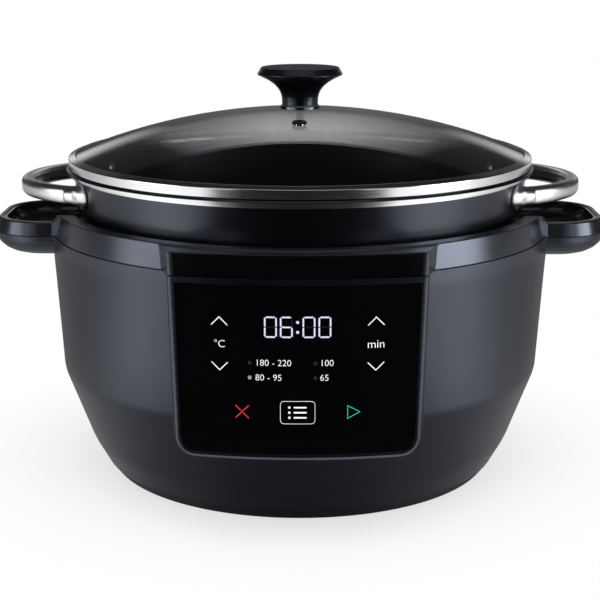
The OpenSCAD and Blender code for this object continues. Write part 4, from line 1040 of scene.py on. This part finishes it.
class Stage(bpy.types.Operator):
    """Sets the floor, the lamps, the background and the camera"""

    bl_idname = "multicooker.stage"
    bl_label = "Stage"

    def execute(self, context):
        scene = context.scene
        scene.view_settings.view_transform = "Standard"
        self.background(scene)
        self.floor()
        self.flags()
        for lamp in LAMPS:
            self.lamp(*lamp)
        self.camera(scene)
        return {"FINISHED"}

    def seen(self, tree):
        """1 for rays that show the background: straight to the camera, mirrored or through glass."""
        path = tree.nodes.new("ShaderNodeLightPath")
        shown = maths(tree, "MAXIMUM", path.outputs["Is Camera Ray"], path.outputs["Is Glossy Ray"])
        return maths(tree, "MAXIMUM", shown, path.outputs["Is Transmission Ray"])

    def background(self, scene):
        """White where it is seen, and soft fill light elsewhere."""
        world = bpy.data.worlds.new("Studio")
        scene.world = world
        world.use_nodes = True
        tree = world.node_tree
        sky = tree.nodes["Background"]
        sky.inputs["Color"].default_value = (1, 1, 1, 1)
        tree.links.new(spread(tree, self.seen(tree), 0.0, 1.0, FILL_LIGHT, 1.0), sky.inputs["Strength"])

    def floor(self):
        """A pale floor that keeps the cooker's shadow and turns to the plain background further out."""
        sizes = settings().stage
        form = bmesh.new()
        bmesh.ops.create_circle(form, cap_ends=True, segments=96, radius=sizes.floor_radius)
        made, tree, skin = new_material(
            "Floor pale", Base_Color=(0.9, 0.9, 0.9, 1), Roughness=0.9, Specular_IOR_Level=0.0
        )
        white = add_node(tree, "ShaderNodeEmission", {"Strength": 1.0})
        away = vectors(tree, "LENGTH", object_place(tree))
        lift = spread(tree, away, sizes.shadow_radius, sizes.plain_radius, FLOOR_LIFT, 1.0)
        shown = maths(tree, "MULTIPLY", lift, self.seen(tree))
        shaders = {0: shown, 1: skin.outputs[0], 2: white.outputs[0]}
        mixer = add_node(tree, "ShaderNodeMixShader", shaders)
        tree.links.new(mixer.outputs[0], tree.nodes["Material Output"].inputs["Surface"])
        self.place(mesh_from(form, "floor", made), "floor")

    def flags(self):
        """Cards round the cooker and on the floor, which show only in reflections and through glass."""
        for flag in FLAGS:
            self.flag(*flag)
        left, right = (-ROOM_SIDE, ROOM_BACK, ROOM_LOW), (ROOM_SIDE, ROOM_FRONT, ROOM_LOW)
        self.flag("flag_floor", self.floor_glow, False, left, right)
        self.flag("flag_back", self.back_glow, True, left, (ROOM_SIDE, ROOM_BACK, ROOM_HIGH))

    def flag(self, name, glow, through_glass, start, end):
        """A card between two corners. Its glow is a number or a method that makes nodes for it."""
        made, tree, _ = new_material(name)
        strength = glow(tree) if callable(glow) else glow
        light = add_node(tree, "ShaderNodeEmission", {"Strength": strength})
        tree.links.new(light.outputs[0], tree.nodes["Material Output"].inputs["Surface"])
        form = bmesh.new()
        form.faces.new([form.verts.new(corner) for corner in self.corners(start, end)])
        card = self.place(mesh_from(form, name, made), name)
        card.visible_camera = False
        card.visible_diffuse = False
        card.visible_transmission = through_glass
        card.visible_shadow = False

    def corners(self, start, end):
        """The four corners of a card that is square to the axes."""
        first = [start[axis] != end[axis] for axis in range(3)].index(True)
        along = [end[axis] if axis == first else start[axis] for axis in range(3)]
        across = [start[axis] if axis == first else end[axis] for axis in range(3)]
        return start, along, end, across

    def back_glow(self, tree):
        """The back card's brightness, with its light patches."""
        x, _, z = split(tree, object_place(tree))
        ways = {"side": maths(tree, "ABSOLUTE", x), "up": z}
        glow = BACK_PLAIN
        for patch in BACK_PATCHES:
            level = 1.0
            for way, *fade in patch:
                level = maths(tree, "MULTIPLY", level, spread(tree, ways[way], *fade))
            glow = maths(tree, "ADD", glow, level)
        return glow

    def floor_glow(self, tree):
        """The floor's brightness in reflections, by the angle from the front and the distance."""
        spot = object_place(tree)
        x, y, _ = split(tree, spot)
        away = vectors(tree, "LENGTH", spot)
        side, front = maths(tree, "ABSOLUTE", x), maths(tree, "MULTIPLY", y, -1.0)
        turn = maths(tree, "DIVIDE", maths(tree, "ARCTAN2", side, front), math.pi)
        glow = self.ramp(tree, turn, FLOOR_NEAR)
        for stops, low, high in FLOOR_BANDS:
            factor = spread(tree, away, low, high, 0.0, 1.0)
            mixer = add_node(tree, "ShaderNodeMix", {0: factor, 2: glow, 3: self.ramp(tree, turn, stops)})
            glow = mixer.outputs[0]
        return glow

    def ramp(self, tree, turn, stops):
        """A brightness that follows stops of angle, from the turn as a share of half a circle."""
        made = add_node(tree, "ShaderNodeValToRGB", {"Fac": turn})
        marks = made.color_ramp.elements
        while len(marks) < len(stops):
            marks.new(1.0)
        for mark, (angle, level) in zip(marks, stops):
            mark.position = angle / 180
            mark.color = (level, level, level, 1)
        return made.outputs["Color"]

    def place(self, mesh, name):
        """A piece of the stage."""
        made = add_object(name, mesh)
        return made

    def lamp(self, name, place, target, width, height, power, mirrored):
        """A soft box that faces a point."""
        light = bpy.data.lights.new(name, "AREA")
        light.shape = "RECTANGLE"
        light.size = width
        light.size_y = height
        light.energy = power
        made = add_object(name, light)
        made.visible_glossy = mirrored
        made.visible_transmission = mirrored
        made.location = place
        made.rotation_euler = (Vector(target) - Vector(place)).to_track_quat("-Z", "Y").to_euler()

    def camera(self, scene):
        """The camera at the photograph's place."""
        sizes = settings().stage
        eye = bpy.data.cameras.new("camera")
        eye.sensor_width = sizes.camera_film
        eye.lens = sizes.camera_lens
        made = add_object("camera", eye)
        made.location = (sizes.camera_side, -sizes.camera_back, sizes.camera_up)
        turn = math.atan2(sizes.camera_side, sizes.camera_back)
        made.rotation_euler = (math.pi / 2 - sizes.camera_tilt, 0, turn)
        scene.camera = made


STEPS = (
    FinishHousing, FinishPot, FinishLid, FinishInside, PanelTrim, PanelDisplay, PanelMarks, Stage,
)


class CookerPanel(bpy.types.Panel):
    """Lists the steps that dress the cooker"""

    bl_idname = "VIEW3D_PT_multicooker"
    bl_label = "Multicooker"
    bl_space_type = "VIEW_3D"
    bl_region_type = "UI"
    bl_category = "Multicooker"

    def draw(self, context):
        for step in STEPS:
            self.layout.operator(step.bl_idname)


CLASSES = (PanelSizes, FinishColours, PotSizes, StageSizes, CookerSettings, *STEPS, CookerPanel)


def register():
    """Registers the classes and the scene's settings."""
    for kind in CLASSES:
        bpy.utils.register_class(kind)
    bpy.types.Scene.multicooker = PointerProperty(type=CookerSettings)


def unregister():
    """Takes them out again."""
    del bpy.types.Scene.multicooker
    for kind in reversed(CLASSES):
        bpy.utils.unregister_class(kind)


def main():
    """Dresses the cooker step by step."""
    register()
    for step in STEPS:
        getattr(bpy.ops.multicooker, step.bl_idname.split(".")[1])()


if __name__ == "__main__":
    main()
